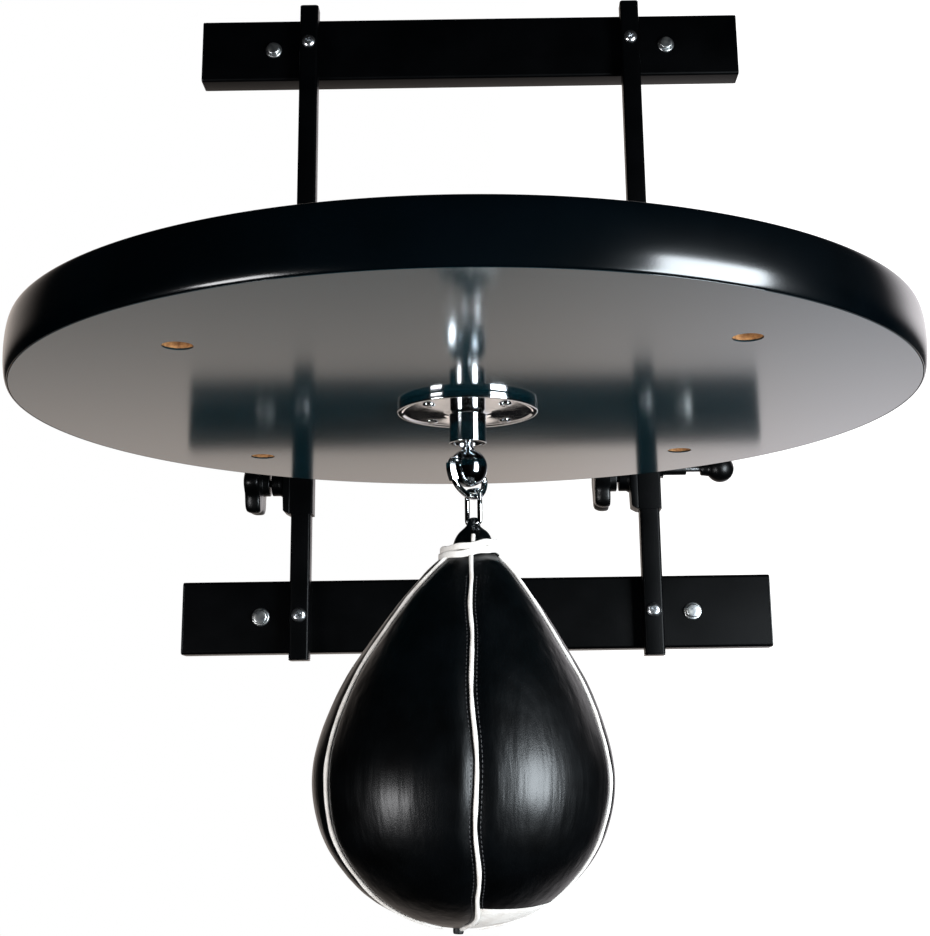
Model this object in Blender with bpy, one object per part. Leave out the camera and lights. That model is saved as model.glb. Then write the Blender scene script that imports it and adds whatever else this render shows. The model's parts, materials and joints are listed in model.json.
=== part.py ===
"""Speed bag platform: wall frame, height-adjustable drum, ball swivel and leather bag.

Metres, +Z up. The origin is the centre of the upper wall bar's back face, +Y points into the
wall, and +X is to the right of a person who faces the wall.
"""

import math

import bmesh
import bpy
from mathutils import Matrix, Vector

for old_object in list(bpy.data.objects):
    bpy.data.objects.remove(old_object, do_unlink=True)

GAP = 0.0003  # clearance between pieces that touch

# Wall frame
BAR_LENGTH = 0.560
BAR_HEIGHT = 0.0685
BAR_DEPTH = 0.0265
BAR_WALL = 0.002
BAR_SPACING = 0.592  # centre of the upper bar to centre of the lower bar
LAG_SPACING = 0.413
LAG_RADIUS = 0.004
POST_SPACING = 0.335
POST_SIZE = 0.019
POST_WALL = 0.0016
POST_OVERHANG = 0.006  # how far a post reaches past the bars
SCREW_RADIUS = 0.003
PIN_HOLE_PITCH = 0.0508
PIN_HOLES_BELOW = 1
PIN_HOLES_ABOVE = 5

# Drum, hung from the carriage
DRUM_RADIUS = 0.3048
DRUM_THICKNESS = 0.038
DRUM_CENTRE_Y = -0.4695
DRUM_Z = -BAR_SPACING + 0.101  # underside of the drum at rest
BAND_WIDTH = 0.0036  # at its fullest, half way up
BAND_FULLNESS = 3.0  # exponent of the band's outer curve, 2 would be an ellipse
LAMINATE = 0.001
BOLT_SQUARE = 0.330  # side of the square of the four drum bolts
BOLT_RADIUS = 0.004
COUNTERBORE_RADIUS = 0.00925
COUNTERBORE_DEPTH = 0.020

# Carriage
SLEEVE_WALL = 0.0017
SLEEVE_BELOW = 0.005  # below the drum's underside
SLEEVE_ABOVE = 0.160
BLOCK_WIDTH = 0.008
BLOCK_ABOVE = 0.062
BOSS_RADIUS = 0.0123
BOSS_LENGTH = 0.009
CLAMP_ABOVE = 0.0265  # clamp screw's axis above the drum's underside
ARM_SIZE = 0.020
ARM_WALL = 0.002
ARM_PAST_BOLT = 0.012
BRACE_WIDTH = 0.006
BRACE_TOP = 0.152  # above the drum's underside
BRACE_HEIGHT = 0.034
BRACE_REACH = 0.190
BRACE_FOOT = 0.040

# Clamp screws
STUD_RADIUS = 0.004
PAD_RADIUS = 0.006
PAD_LENGTH = 0.003
KNOB_RADIUS = 0.030
KNOB_LOBE = 0.003
KNOB_LOBES = 6
KNOB_THICKNESS = 0.015
HUB_RADIUS = 0.0125
HUB_LENGTH = 0.0075
STUD_BARE = 0.002  # bare stud between the boss and the knob's hub

# Pull pin
PIN_ABOVE = 0.035  # pin's axis above the drum's underside
PIN_RADIUS = 0.003
BARREL_RADIUS = 0.0058
BARREL_BORE = 0.0045
BARREL_END = 0.0375  # from the post's centre line
ROD_BARE = 0.014
BALL_KNOB_RADIUS = 0.0134
BALL_KNOB_LENGTH = 0.0325

# Swivel, measured down from the drum's underside
FLANGE_RADIUS = 0.048
SWIVEL_HUB_RADIUS = 0.0125
SWIVEL_HUB_DEPTH = 0.026
FLANGE_SCREW_CIRCLE = 0.036
FLANGE_SCREW_SHANK = 0.0024
SPINDLE_RADIUS = 0.0032
BALL_RADIUS = 0.013
BALL_DEPTH = 0.043
BALL_LINK_WIRE = 0.0022
LOWER_LINK_WIRE = 0.0017
LOWER_LINK_HALF_WIDTH = 0.0053
LOWER_LINK_CORNER = 0.0026
BAG_PIVOT_DEPTH = 0.081

# Bag, measured down from its pivot along its own axis
BAG_TILT = math.radians(2.8)
BAG_LENGTH = 0.256
BAG_WALL = 0.0025
COLLAR_TOP = 0.0145
VALVE_HOLE_RADIUS = 0.005

ROUND = 18  # facets round a small round piece
DRUM_FACETS = 72
BAND_STEPS = 8  # facets up the band's curve


# ---------------------------------------------------------------- materials

def make_material(name, colour, roughness, metallic=0.0):
    """A plain Principled material."""
    material = bpy.data.materials.new(name)
    material.use_nodes = True
    shader = material.node_tree.nodes["Principled BSDF"]
    shader.inputs["Base Color"].default_value = (*colour, 1.0)
    shader.inputs["Roughness"].default_value = roughness
    shader.inputs["Metallic"].default_value = metallic
    material.diffuse_color = (*colour, 1.0)
    return material


MATERIALS = {
    "powder_coat": make_material("powder_coat", (0.012, 0.012, 0.014), 0.42),
    "black_plastic": make_material("black_plastic", (0.014, 0.014, 0.015), 0.38),
    "zinc": make_material("zinc", (0.62, 0.64, 0.66), 0.32, 1.0),
    "chrome": make_material("chrome", (0.86, 0.87, 0.88), 0.06, 1.0),
    "board_wood": make_material("board_wood", (0.62, 0.36, 0.16), 0.75),
    "edge_band": make_material("edge_band", (0.010, 0.010, 0.011), 0.16),
    "laminate": make_material("laminate", (0.020, 0.020, 0.021), 0.18),
    "spring_steel": make_material("spring_steel", (0.45, 0.45, 0.46), 0.35, 1.0),
    "black_leather": make_material("black_leather", (0.012, 0.012, 0.013), 0.30),
    "white_leather": make_material("white_leather", (0.80, 0.76, 0.70), 0.50),
    "bladder_rubber": make_material("bladder_rubber", (0.030, 0.028, 0.027), 0.60),
}


# ---------------------------------------------------------------- mesh helpers

def make_object(name, vertices, faces, material, location=(0, 0, 0), rotation=None, parent=None):
    """One closed mesh as a named object, facing out, shaded smooth between its sharp edges."""
    mesh = bpy.data.meshes.new(name)
    mesh.from_pydata([tuple(v) for v in vertices], [], faces)
    work = bmesh.new()
    work.from_mesh(mesh)
    bmesh.ops.recalc_face_normals(work, faces=work.faces)
    work.to_mesh(mesh)
    work.free()
    mesh.shade_smooth()
    mesh.set_sharp_from_angle(angle=math.radians(35))
    mesh.materials.append(MATERIALS[material])
    made = bpy.data.objects.new(name, mesh)
    bpy.context.scene.collection.objects.link(made)
    made.matrix_world = Matrix.Translation(location) @ (rotation or Matrix.Identity(4))
    if parent is not None:
        made.parent = parent
    return made


def make_empty(name, location, rotation=None):
    """A guide that marks a joint's axis."""
    empty = bpy.data.objects.new(name, None)
    bpy.context.scene.collection.objects.link(empty)
    empty.matrix_world = Matrix.Translation(location) @ (rotation or Matrix.Identity(4))
    return empty


def turned(profile, segments=ROUND, radius_at=None):
    """Vertices and faces of a profile of (radius, height) points turned about Z.

    A profile that starts and ends at radius 0 makes a solid, any other one is a closed ring.
    radius_at(radius, angle) changes a radius round the axis, for lobes.
    """
    vertices, rings, faces = [], [], []
    for radius, height in profile:
        if radius == 0:
            rings.append([len(vertices)])
            vertices.append((0.0, 0.0, height))
            continue
        rings.append(list(range(len(vertices), len(vertices) + segments)))
        for i in range(segments):
            angle = 2 * math.pi * i / segments
            r = radius_at(radius, angle) if radius_at else radius
            vertices.append((r * math.cos(angle), r * math.sin(angle), height))
    is_solid = profile[0][0] == 0
    pairs = list(zip(rings, rings[1:]))
    if not is_solid:
        pairs.append((rings[-1], rings[0]))
    for lower, upper in pairs:
        for i in range(segments):
            j = (i + 1) % segments
            below = [lower[i % len(lower)], lower[j % len(lower)]]
            above = [upper[j % len(upper)], upper[i % len(upper)]]
            face = list(dict.fromkeys(below + above))
            if len(face) > 2:
                faces.append(face)
    return vertices, faces


def hexagonal(corner):
    """A radius_at that turns the circle of one radius into a hexagon with its corners there."""
    def radius_at(radius, angle):
        if radius != corner:
            return radius
        return radius * math.cos(math.pi / 6) / math.cos(angle % (math.pi / 3) - math.pi / 6)
    return radius_at


def rounded_rectangle(width, height, radius, steps=2):
    """Outline points of a rectangle with round corners, centred on 0, anticlockwise."""
    points = []
    for quarter, (sx, sy) in enumerate(((1, 1), (-1, 1), (-1, -1), (1, -1))):
        for step in range(steps + 1):
            angle = math.pi / 2 * (quarter + step / steps)
            points.append((
                sx * (width / 2 - radius) + radius * math.cos(angle),
                sy * (height / 2 - radius) + radius * math.sin(angle),
            ))
    return points


def prism(outline, bottom, top, inner=None):
    """A prism along Z of an outline, hollow right through when inner, with as many points, is given."""
    count = len(outline)
    loops = [outline] if inner is None else [outline, inner]
    vertices = [(x, y, z) for loop in loops for z in (bottom, top) for x, y in loop]
    faces = []
    for loop_index in range(len(loops)):
        base = loop_index * 2 * count
        for i in range(count):
            j = (i + 1) % count
            faces.append([base + i, base + j, base + count + j, base + count + i])
    if inner is None:
        faces += [list(range(count)), list(range(count, 2 * count))]
        return vertices, faces
    for level in (0, count):
        for i in range(count):
            j = (i + 1) % count
            faces.append([level + i, level + j, 2 * count + level + j, 2 * count + level + i])
    return vertices, faces


def square_tube(length, width, height, wall, corner):
    """A tube of rounded rectangular section along Z, centred on its middle."""
    outer = rounded_rectangle(width, height, corner)
    inner = rounded_rectangle(width - 2 * wall, height - 2 * wall, max(corner - wall, 0.0004))
    return prism(outer, -length / 2, length / 2, inner)


def swept(path, radius, sides=10, is_closed=True):
    """A round wire along a path of points, closed on itself or with flat ends."""
    count = len(path)
    points = [Vector(p) for p in path]
    normal = None
    vertices, faces = [], []
    for i, point in enumerate(points):
        if is_closed:
            tangent = (points[(i + 1) % count] - points[i - 1]).normalized()
        else:
            tangent = (points[min(i + 1, count - 1)] - points[max(i - 1, 0)]).normalized()
        if normal is None:
            normal = tangent.orthogonal().normalized()
        normal = (normal - tangent * normal.dot(tangent)).normalized()
        across = tangent.cross(normal)
        for k in range(sides):
            angle = 2 * math.pi * k / sides
            out = normal * math.cos(angle) + across * math.sin(angle)
            vertices.append(point + out * radius)
    for i in range(count if is_closed else count - 1):
        for k in range(sides):
            a, b = i * sides, (i + 1) % count * sides
            faces.append([a + k, a + (k + 1) % sides, b + (k + 1) % sides, b + k])
    if not is_closed:
        faces += [list(range(sides)), list(range((count - 1) * sides, count * sides))]
    return vertices, faces


def cut(target, shapes, name="holes"):
    """Cuts closed shapes, each given as (vertices, faces, world matrix), out of a target object."""
    work = bmesh.new()
    for vertices, faces, matrix in shapes:
        made = [work.verts.new(matrix @ Vector(v)) for v in vertices]
        for face in faces:
            work.faces.new([made[i] for i in face])
    bmesh.ops.recalc_face_normals(work, faces=work.faces)
    mesh = bpy.data.meshes.new(f"{target.name}_{name}")
    work.to_mesh(mesh)
    work.free()
    cutter = bpy.data.objects.new(mesh.name, mesh)
    bpy.context.scene.collection.objects.link(cutter)
    cutter.hide_render = True
    cutter.display_type = "WIRE"
    boolean = target.modifiers.new(name, "BOOLEAN")
    boolean.operation = "DIFFERENCE"
    boolean.solver = "EXACT"
    boolean.object = cutter
    return target


def drill(centre, direction, radius, length, segments=16):
    """A round cutter that starts at a world point and runs along a direction."""
    vertices, faces = turned([(0, 0), (radius, 0), (radius, length), (0, length)], segments)
    turn = Vector(direction).to_track_quat("Z", "Y").to_matrix().to_4x4()
    return vertices, faces, Matrix.Translation(centre) @ turn


ALONG_X = Matrix.Rotation(math.pi / 2, 4, "Y")  # local +Z to world +X
ALONG_MINUS_X = Matrix.Rotation(-math.pi / 2, 4, "Y")
ALONG_Y = Matrix.Rotation(-math.pi / 2, 4, "X")  # local +Z to world +Y
ALONG_MINUS_Y = Matrix.Rotation(math.pi / 2, 4, "X")

BAR_CENTRE_Y = -BAR_DEPTH / 2
POST_CENTRE_Y = -BAR_DEPTH - GAP - POST_SIZE / 2
POST_FRONT_Y = POST_CENTRE_Y - POST_SIZE / 2
CLAMP_Z = DRUM_Z + CLAMP_ABOVE
PIN_Z = DRUM_Z + PIN_ABOVE
SIDES = (("left", -1), ("right", 1))
BARS = (("upper", 0.0), ("lower", -BAR_SPACING))


# ---------------------------------------------------------------- wall frame

def make_bar(name, z):
    """A wall bar, a rectangular tube along X, with its lag and post screw holes."""
    vertices, faces = square_tube(BAR_LENGTH, BAR_HEIGHT, BAR_DEPTH, BAR_WALL, 0.003)
    bar = make_object(f"{name}_wall_bar", vertices, faces, "powder_coat", (0, BAR_CENTRE_Y, z), ALONG_X)
    holes = []
    for _, side in SIDES:
        lag = (side * LAG_SPACING / 2, -BAR_DEPTH - 0.002, z)
        holes.append(drill(lag, (0, 1, 0), LAG_RADIUS + GAP, BAR_DEPTH + 0.004))
        screw = (side * POST_SPACING / 2, -BAR_DEPTH - 0.002, z)
        holes.append(drill(screw, (0, 1, 0), SCREW_RADIUS + GAP, BAR_WALL + 0.004))
    cut(bar, holes)


def make_tube_cap(name, width, height, wall, depth, location, rotation, lip=0.0018):
    """A moulded plug for a tube's end: a lip over the wall and a spigot inside it."""
    outer = rounded_rectangle(width, height, 0.0025)
    inner = rounded_rectangle(width - 2 * (wall + GAP), height - 2 * (wall + GAP), 0.0012)
    count = len(outer)
    levels = [(inner, -depth), (inner, GAP), (outer, GAP), (outer, lip)]
    vertices = [(x, y, z) for loop, z in levels for x, y in loop]
    faces = [list(range(count)), list(range(3 * count, 4 * count))]
    for level in range(3):
        base = level * count
        for i in range(count):
            j = (i + 1) % count
            faces.append([base + i, base + j, base + count + j, base + count + i])
    make_object(name, vertices, faces, "black_plastic", location, rotation)


def make_lag_bolt(name, x, z):
    """A hex lag bolt with a washer flange and a domed head, driven into the wall along +Y."""
    washer, washer_height, hex_radius, head_height = 0.0085, 0.0016, 0.0066, 0.0060
    tip, taper, length = 0.0012, 0.006, 0.050
    dome, chamfer = 0.0006, 0.0008
    profile = [
        (0, -head_height - dome), (hex_radius * 0.55, -head_height - dome * 0.7),
        (hex_radius * 0.86, -head_height), (hex_radius, -head_height + chamfer),
        (hex_radius, -washer_height), (washer, -washer_height), (washer, -GAP),
        (LAG_RADIUS, -GAP), (LAG_RADIUS, length - taper), (tip, length), (0, length),
    ]
    vertices, faces = turned(profile, ROUND, hexagonal(hex_radius))
    make_object(name, vertices, faces, "zinc", (x, -BAR_DEPTH, z), ALONG_Y)


def make_post_screw(name, x, z):
    """A pan-head machine screw through the post into the bar."""
    head, height, length = 0.0070, 0.0036, 0.028
    profile = [
        (0, -height - GAP), (head * 0.45, -height * 0.97), (head * 0.8, -height * 0.75),
        (head, -height * 0.35), (head, -GAP), (SCREW_RADIUS, -GAP), (SCREW_RADIUS, length), (0, length),
    ]
    vertices, faces = turned(profile, 16)
    make_object(name, vertices, faces, "chrome", (x, POST_FRONT_Y, z), ALONG_Y)


def make_post(name, side):
    """A square tube with its screw holes, and on the right one the row of pin holes."""
    length = BAR_SPACING + BAR_HEIGHT + 2 * POST_OVERHANG
    x = side * POST_SPACING / 2
    vertices, faces = square_tube(length, POST_SIZE, POST_SIZE, POST_WALL, 0.0024)
    post = make_object(name, vertices, faces, "powder_coat", (x, POST_CENTRE_Y, -BAR_SPACING / 2))
    holes = []
    for _, z in BARS:
        start = (x, POST_FRONT_Y - 0.002, z)
        holes.append(drill(start, (0, 1, 0), SCREW_RADIUS + GAP, POST_SIZE + 0.004))
    if side > 0:
        for step in range(-PIN_HOLES_BELOW, PIN_HOLES_ABOVE + 1):
            start = (x + POST_SIZE / 2 + 0.002, POST_CENTRE_Y, PIN_Z + step * PIN_HOLE_PITCH)
            holes.append(drill(start, (-1, 0, 0), PIN_RADIUS + 0.0005, POST_WALL + 0.004))
    cut(post, holes)
    half = length / 2
    flip = Matrix.Rotation(math.pi, 4, "X")
    for end, z, turn in (("top", half, None), ("bottom", -half, flip)):
        place = (x, POST_CENTRE_Y, -BAR_SPACING / 2 + z)
        make_tube_cap(f"{name}_{end}_cap", POST_SIZE, POST_SIZE, POST_WALL, 0.008, place, turn)


def make_wall_frame():
    for bar, z in BARS:
        make_bar(bar, z)
        for side_name, side in SIDES:
            turn = ALONG_X if side > 0 else ALONG_MINUS_X
            end = (side * BAR_LENGTH / 2, BAR_CENTRE_Y, z)
            cap = f"{bar}_bar_{side_name}_cap"
            make_tube_cap(cap, BAR_HEIGHT, BAR_DEPTH, BAR_WALL, 0.010, end, turn)
            make_lag_bolt(f"{bar}_{side_name}_lag_bolt", side * LAG_SPACING / 2, z)
            make_post_screw(f"{bar}_{side_name}_post_screw", side * POST_SPACING / 2, z)
    for side_name, side in SIDES:
        make_post(f"{side_name}_post", side)


# ---------------------------------------------------------------- carriage

SLEEVE_INNER = POST_SIZE / 2 + GAP
SLEEVE_OUTER = SLEEVE_INNER + SLEEVE_WALL
SLEEVE_LOW = DRUM_Z - SLEEVE_BELOW
SLEEVE_HIGH = DRUM_Z + SLEEVE_ABOVE
ARM_LOW = DRUM_Z + DRUM_THICKNESS + GAP
ARM_BACK_Y = POST_CENTRE_Y - SLEEVE_OUTER - GAP
ARM_FRONT_Y = DRUM_CENTRE_Y - BOLT_SQUARE / 2 - ARM_PAST_BOLT


def make_sleeve(name, side):
    """A square sleeve with a nut block and a boss welded to its left, made as one casting.

    The outline is drawn in XY and the block's lower corner is cut away by a slanted cutter.
    """
    x = side * POST_SPACING / 2
    outer, inner = SLEEVE_OUTER, SLEEVE_INNER
    left = -outer - BLOCK_WIDTH
    work = bmesh.new()
    levels = (SLEEVE_LOW, DRUM_Z + BLOCK_ABOVE, SLEEVE_HIGH)
    ring = ((outer, -outer), (outer, outer), (-outer, outer), (-outer, -outer))
    hole = ((inner, -inner), (inner, inner), (-inner, inner), (-inner, -inner))
    block = ((left, outer), (left, -outer))
    vertex = {}
    for level, z in enumerate(levels):
        for index, (px, py) in enumerate(ring):
            vertex["ring", level, index] = work.verts.new((px, py, z))
        for index, (px, py) in enumerate(hole):
            vertex["hole", level, index] = work.verts.new((px, py, z))
        if level < 2:
            for index, (px, py) in enumerate(block):
                vertex["block", level, index] = work.verts.new((px, py, z))
    for level in range(2):
        for index in range(4):
            following = (index + 1) % 4
            if not (level == 0 and index == 2):
                work.faces.new([
                    vertex["ring", level, index], vertex["ring", level, following],
                    vertex["ring", level + 1, following], vertex["ring", level + 1, index],
                ])
            work.faces.new([
                vertex["hole", level, index], vertex["hole", level, following],
                vertex["hole", level + 1, following], vertex["hole", level + 1, index],
            ])
    block_sides = ((("ring", 2), ("block", 0)), (("block", 0), ("block", 1)), (("block", 1), ("ring", 3)))
    for start, end in block_sides:
        work.faces.new([
            vertex[start[0], 0, start[1]], vertex[end[0], 0, end[1]],
            vertex[end[0], 1, end[1]], vertex[start[0], 1, start[1]],
        ])
    for level in (0, 1):
        work.faces.new([
            vertex["ring", level, 2], vertex["block", level, 0],
            vertex["block", level, 1], vertex["ring", level, 3],
        ])
    for level in (0, 2):
        for index in range(4):
            following = (index + 1) % 4
            work.faces.new([
                vertex["ring", level, index], vertex["ring", level, following],
                vertex["hole", level, following], vertex["hole", level, index],
            ])
    vertices = [v.co.copy() for v in work.verts]
    for index, v in enumerate(work.verts):
        v.index = index
    faces = [[v.index for v in face.verts] for face in work.faces]
    work.free()
    sleeve = make_object(name, vertices, faces, "powder_coat", (x, POST_CENTRE_Y, 0))

    overlap = 0.001
    boss_start = (x + left + overlap, POST_CENTRE_Y, CLAMP_Z)
    boss_length = BOSS_LENGTH + overlap
    boss_vertices, boss_faces, boss_matrix = drill(boss_start, (-1, 0, 0), BOSS_RADIUS, boss_length, 32)
    boss = make_object(f"{name}_boss", boss_vertices, boss_faces, "powder_coat")
    boss.matrix_world = boss_matrix
    boss.hide_render = True
    boss.display_type = "WIRE"
    union = sleeve.modifiers.new("boss", "BOOLEAN")
    union.operation = "UNION"
    union.solver = "EXACT"
    union.object = boss

    chamfer = 0.006
    wedge_outline = [(left - 0.001, SLEEVE_LOW - 0.001), (left + chamfer, SLEEVE_LOW - 0.001),
                     (left - 0.001, SLEEVE_LOW + chamfer)]
    wedge_vertices = [(px, py, pz) for py in (-outer - 0.002, outer + 0.002) for px, pz in wedge_outline]
    wedge_faces = [[0, 1, 2], [3, 4, 5], [0, 1, 4, 3], [1, 2, 5, 4], [2, 0, 3, 5]]
    cut(sleeve, [(wedge_vertices, wedge_faces, Matrix.Translation((x, POST_CENTRE_Y, 0)))], "chamfer")

    pad_room, stud_bore = PAD_RADIUS + 0.0004, STUD_RADIUS + GAP
    pad_room_depth, bore_depth = 0.0087, 0.031
    stepped = turned([(0, 0), (pad_room, 0), (pad_room, pad_room_depth), (stud_bore, pad_room_depth),
                      (stud_bore, bore_depth), (0, bore_depth)], 20)
    clamp_bore = (*stepped, Matrix.Translation((x - inner + 0.002, POST_CENTRE_Y, CLAMP_Z)) @ ALONG_MINUS_X)
    bores = [clamp_bore]
    if side > 0:
        pin_start = (x + inner - 0.001, POST_CENTRE_Y, PIN_Z)
        bores.append(drill(pin_start, (1, 0, 0), PIN_RADIUS + GAP, 0.006, 20))
    cut(sleeve, bores, "bores")


def make_arm(name, side):
    """A square tube from the sleeve forward over the drum, with a hole for each drum bolt."""
    x = side * BOLT_SQUARE / 2
    length = ARM_BACK_Y - ARM_FRONT_Y
    centre = (x, (ARM_BACK_Y + ARM_FRONT_Y) / 2, ARM_LOW + ARM_SIZE / 2)
    vertices, faces = square_tube(length, ARM_SIZE, ARM_SIZE, ARM_WALL, 0.003)
    arm = make_object(f"{name}_arm", vertices, faces, "powder_coat", centre, ALONG_Y)
    holes = []
    for row in (-1, 1):
        start = (x, DRUM_CENTRE_Y + row * BOLT_SQUARE / 2, ARM_LOW - 0.002)
        holes.append(drill(start, (0, 0, 1), BOLT_RADIUS + GAP, ARM_SIZE + 0.004))
    cut(arm, holes)
    end = (x, ARM_FRONT_Y, ARM_LOW + ARM_SIZE / 2)
    make_tube_cap(f"{name}_arm_cap", ARM_SIZE, ARM_SIZE, ARM_WALL, 0.006, end, ALONG_MINUS_Y)


def make_brace(name, side):
    """A flat bar from high on the sleeve down to the top of the arm."""
    x = side * BOLT_SQUARE / 2
    top_y, top_high, top_low = ARM_BACK_Y, DRUM_Z + BRACE_TOP, DRUM_Z + BRACE_TOP - BRACE_HEIGHT
    foot_z = ARM_LOW + ARM_SIZE + GAP
    foot_back, foot_front = top_y - BRACE_REACH + BRACE_FOOT, top_y - BRACE_REACH
    outline = [(top_y, top_low), (top_y, top_high), (foot_front, foot_z), (foot_back, foot_z)]
    vertices = [(x + end * BRACE_WIDTH / 2, y, z) for end in (-1, 1) for y, z in outline]
    faces = [[0, 1, 2, 3], [4, 5, 6, 7], [0, 1, 5, 4], [1, 2, 6, 5], [2, 3, 7, 6], [3, 0, 4, 7]]
    make_object(f"{name}_brace", vertices, faces, "powder_coat")


def bolt_places():
    """Centre of each drum bolt: name, x and y."""
    for row_name, row in (("front", -1), ("rear", 1)):
        for side_name, side in SIDES:
            yield f"{row_name}_{side_name}", side * BOLT_SQUARE / 2, DRUM_CENTRE_Y + row * BOLT_SQUARE / 2


def flange_screw_places():
    """Centre of each flange screw: name, x and y."""
    reach = FLANGE_SCREW_CIRCLE * math.sqrt(0.5)
    for row_name, row in (("front", -1), ("rear", 1)):
        for side_name, side in SIDES:
            yield f"{row_name}_{side_name}", side * reach, DRUM_CENTRE_Y + row * reach


def make_drum():
    """The board, its edge band and the glossy laminate on its underside."""
    place = (0, DRUM_CENTRE_Y, DRUM_Z)
    inside = DRUM_RADIUS - BAND_WIDTH
    low = LAMINATE + GAP
    high = DRUM_THICKNESS
    disc = [(0, low), (inside - GAP, low), (inside - GAP, high), (0, high)]
    board = make_object("drum_board", *turned(disc, DRUM_FACETS), "board_wood", place)
    below, through_skin, pilot_depth = DRUM_Z - 0.002, 0.006, 0.026
    holes, pilots, skin_holes = [], [], []
    for _, x, y in bolt_places():
        holes.append(drill((x, y, below), (0, 0, 1), COUNTERBORE_RADIUS, COUNTERBORE_DEPTH + 0.002, 24))
        pilots.append(drill((x, y, DRUM_Z + 0.004), (0, 0, 1), BOLT_RADIUS + GAP, DRUM_THICKNESS, 16))
        skin_holes.append(drill((x, y, below), (0, 0, 1), COUNTERBORE_RADIUS, through_skin, 24))
    for _, x, y in flange_screw_places():
        pilots.append(drill((x, y, below), (0, 0, 1), FLANGE_SCREW_SHANK + 0.0004, pilot_depth, 12))
        skin_holes.append(drill((x, y, below), (0, 0, 1), FLANGE_SCREW_SHANK + 0.0004, through_skin, 12))
    cut(board, holes, "counterbores")
    cut(board, pilots, "pilots")
    skin = [(0, 0), (inside - GAP, 0), (inside - GAP, LAMINATE), (0, LAMINATE)]
    cut(make_object("drum_laminate", *turned(skin, DRUM_FACETS), "laminate", place), skin_holes)

    profile = []
    for step in range(BAND_STEPS + 1):
        height = math.cos(math.pi * step / BAND_STEPS)
        fullness = (1 - abs(height) ** BAND_FULLNESS) ** (1 / BAND_FULLNESS)
        profile.append((inside + BAND_WIDTH * fullness, high / 2 * (1 - height)))
    make_object("drum_edge_band", *turned(profile, DRUM_FACETS), "edge_band", place)


def make_drum_bolt(name, x, y):
    """A hex bolt seated in the counterbore, up through the board and the arm."""
    head, height, chamfer, past_arm = 0.0075, 0.0055, 0.0007, 0.0084
    seat = DRUM_Z + COUNTERBORE_DEPTH - GAP
    length = ARM_LOW + ARM_SIZE + past_arm - seat
    profile = [(0, -height), (head * 0.85, -height), (head, -height + chamfer), (head, 0), (BOLT_RADIUS, 0),
               (BOLT_RADIUS, length), (0, length)]
    vertices, faces = turned(profile, ROUND, hexagonal(head))
    make_object(f"drum_bolt_{name}", vertices, faces, "zinc", (x, y, seat))


def make_carriage():
    for side_name, side in SIDES:
        make_sleeve(f"{side_name}_sleeve", side)
        make_arm(side_name, side)
        make_brace(side_name, side)
    make_drum()
    for name, x, y in bolt_places():
        make_drum_bolt(name, x, y)


# ---------------------------------------------------------------- clamp screws and pull pin

def make_clamp(name, side):
    """Pressure pad, stud and lobed knob, along X, on the left of a sleeve."""
    x = side * POST_SPACING / 2
    axis = make_empty(f"{name}_clamp_axis", (x, POST_CENTRE_Y, CLAMP_Z), ALONG_MINUS_X)
    pad_start = POST_SIZE / 2 + GAP
    boss_end = SLEEVE_OUTER + BLOCK_WIDTH + BOSS_LENGTH
    hub_start = boss_end + STUD_BARE
    knob_start = hub_start + HUB_LENGTH
    knob_end = knob_start + KNOB_THICKNESS
    stud_start = pad_start + PAD_LENGTH + GAP
    stud_end = knob_start + 0.008

    pad = [(0, pad_start), (PAD_RADIUS - 0.0005, pad_start), (PAD_RADIUS, pad_start + 0.0005),
           (PAD_RADIUS, pad_start + PAD_LENGTH), (0, pad_start + PAD_LENGTH)]
    make_object(f"{name}_clamp_pad", *turned(pad, 20), "black_plastic", parent=axis)
    stud = [(0, stud_start), (STUD_RADIUS, stud_start), (STUD_RADIUS, stud_end), (0, stud_end)]
    make_object(f"{name}_clamp_stud", *turned(stud, 20), "zinc", parent=axis)

    phase = math.pi / KNOB_LOBES if side < 0 else 0.0

    def lobes(radius, angle):
        if radius < HUB_RADIUS + 0.002:
            return radius
        share = (radius - HUB_RADIUS) / (KNOB_RADIUS - HUB_RADIUS)
        return radius + share * KNOB_LOBE * math.cos(KNOB_LOBES * angle + phase)

    bore, bore_end = STUD_RADIUS + GAP, stud_end + GAP
    profile = [
        (bore, hub_start), (HUB_RADIUS - 0.001, hub_start), (HUB_RADIUS, hub_start + 0.001),
        (HUB_RADIUS, knob_start - 0.001), (HUB_RADIUS + 0.0015, knob_start),
        (KNOB_RADIUS - 0.003, knob_start), (KNOB_RADIUS - 0.0008, knob_start + 0.001),
        (KNOB_RADIUS, knob_start + 0.003),
        (KNOB_RADIUS, knob_end - 0.0045), (KNOB_RADIUS - 0.0012, knob_end - 0.0018),
        (KNOB_RADIUS - 0.004, knob_end), (KNOB_RADIUS * 0.45, knob_end - 0.0008),
    ]
    profile = [(0, bore_end), (bore, bore_end), *profile, (0, knob_end - 0.0008)]
    make_object(f"{name}_clamp_knob", *turned(profile, 36, lobes), "black_plastic", parent=axis)


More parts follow.
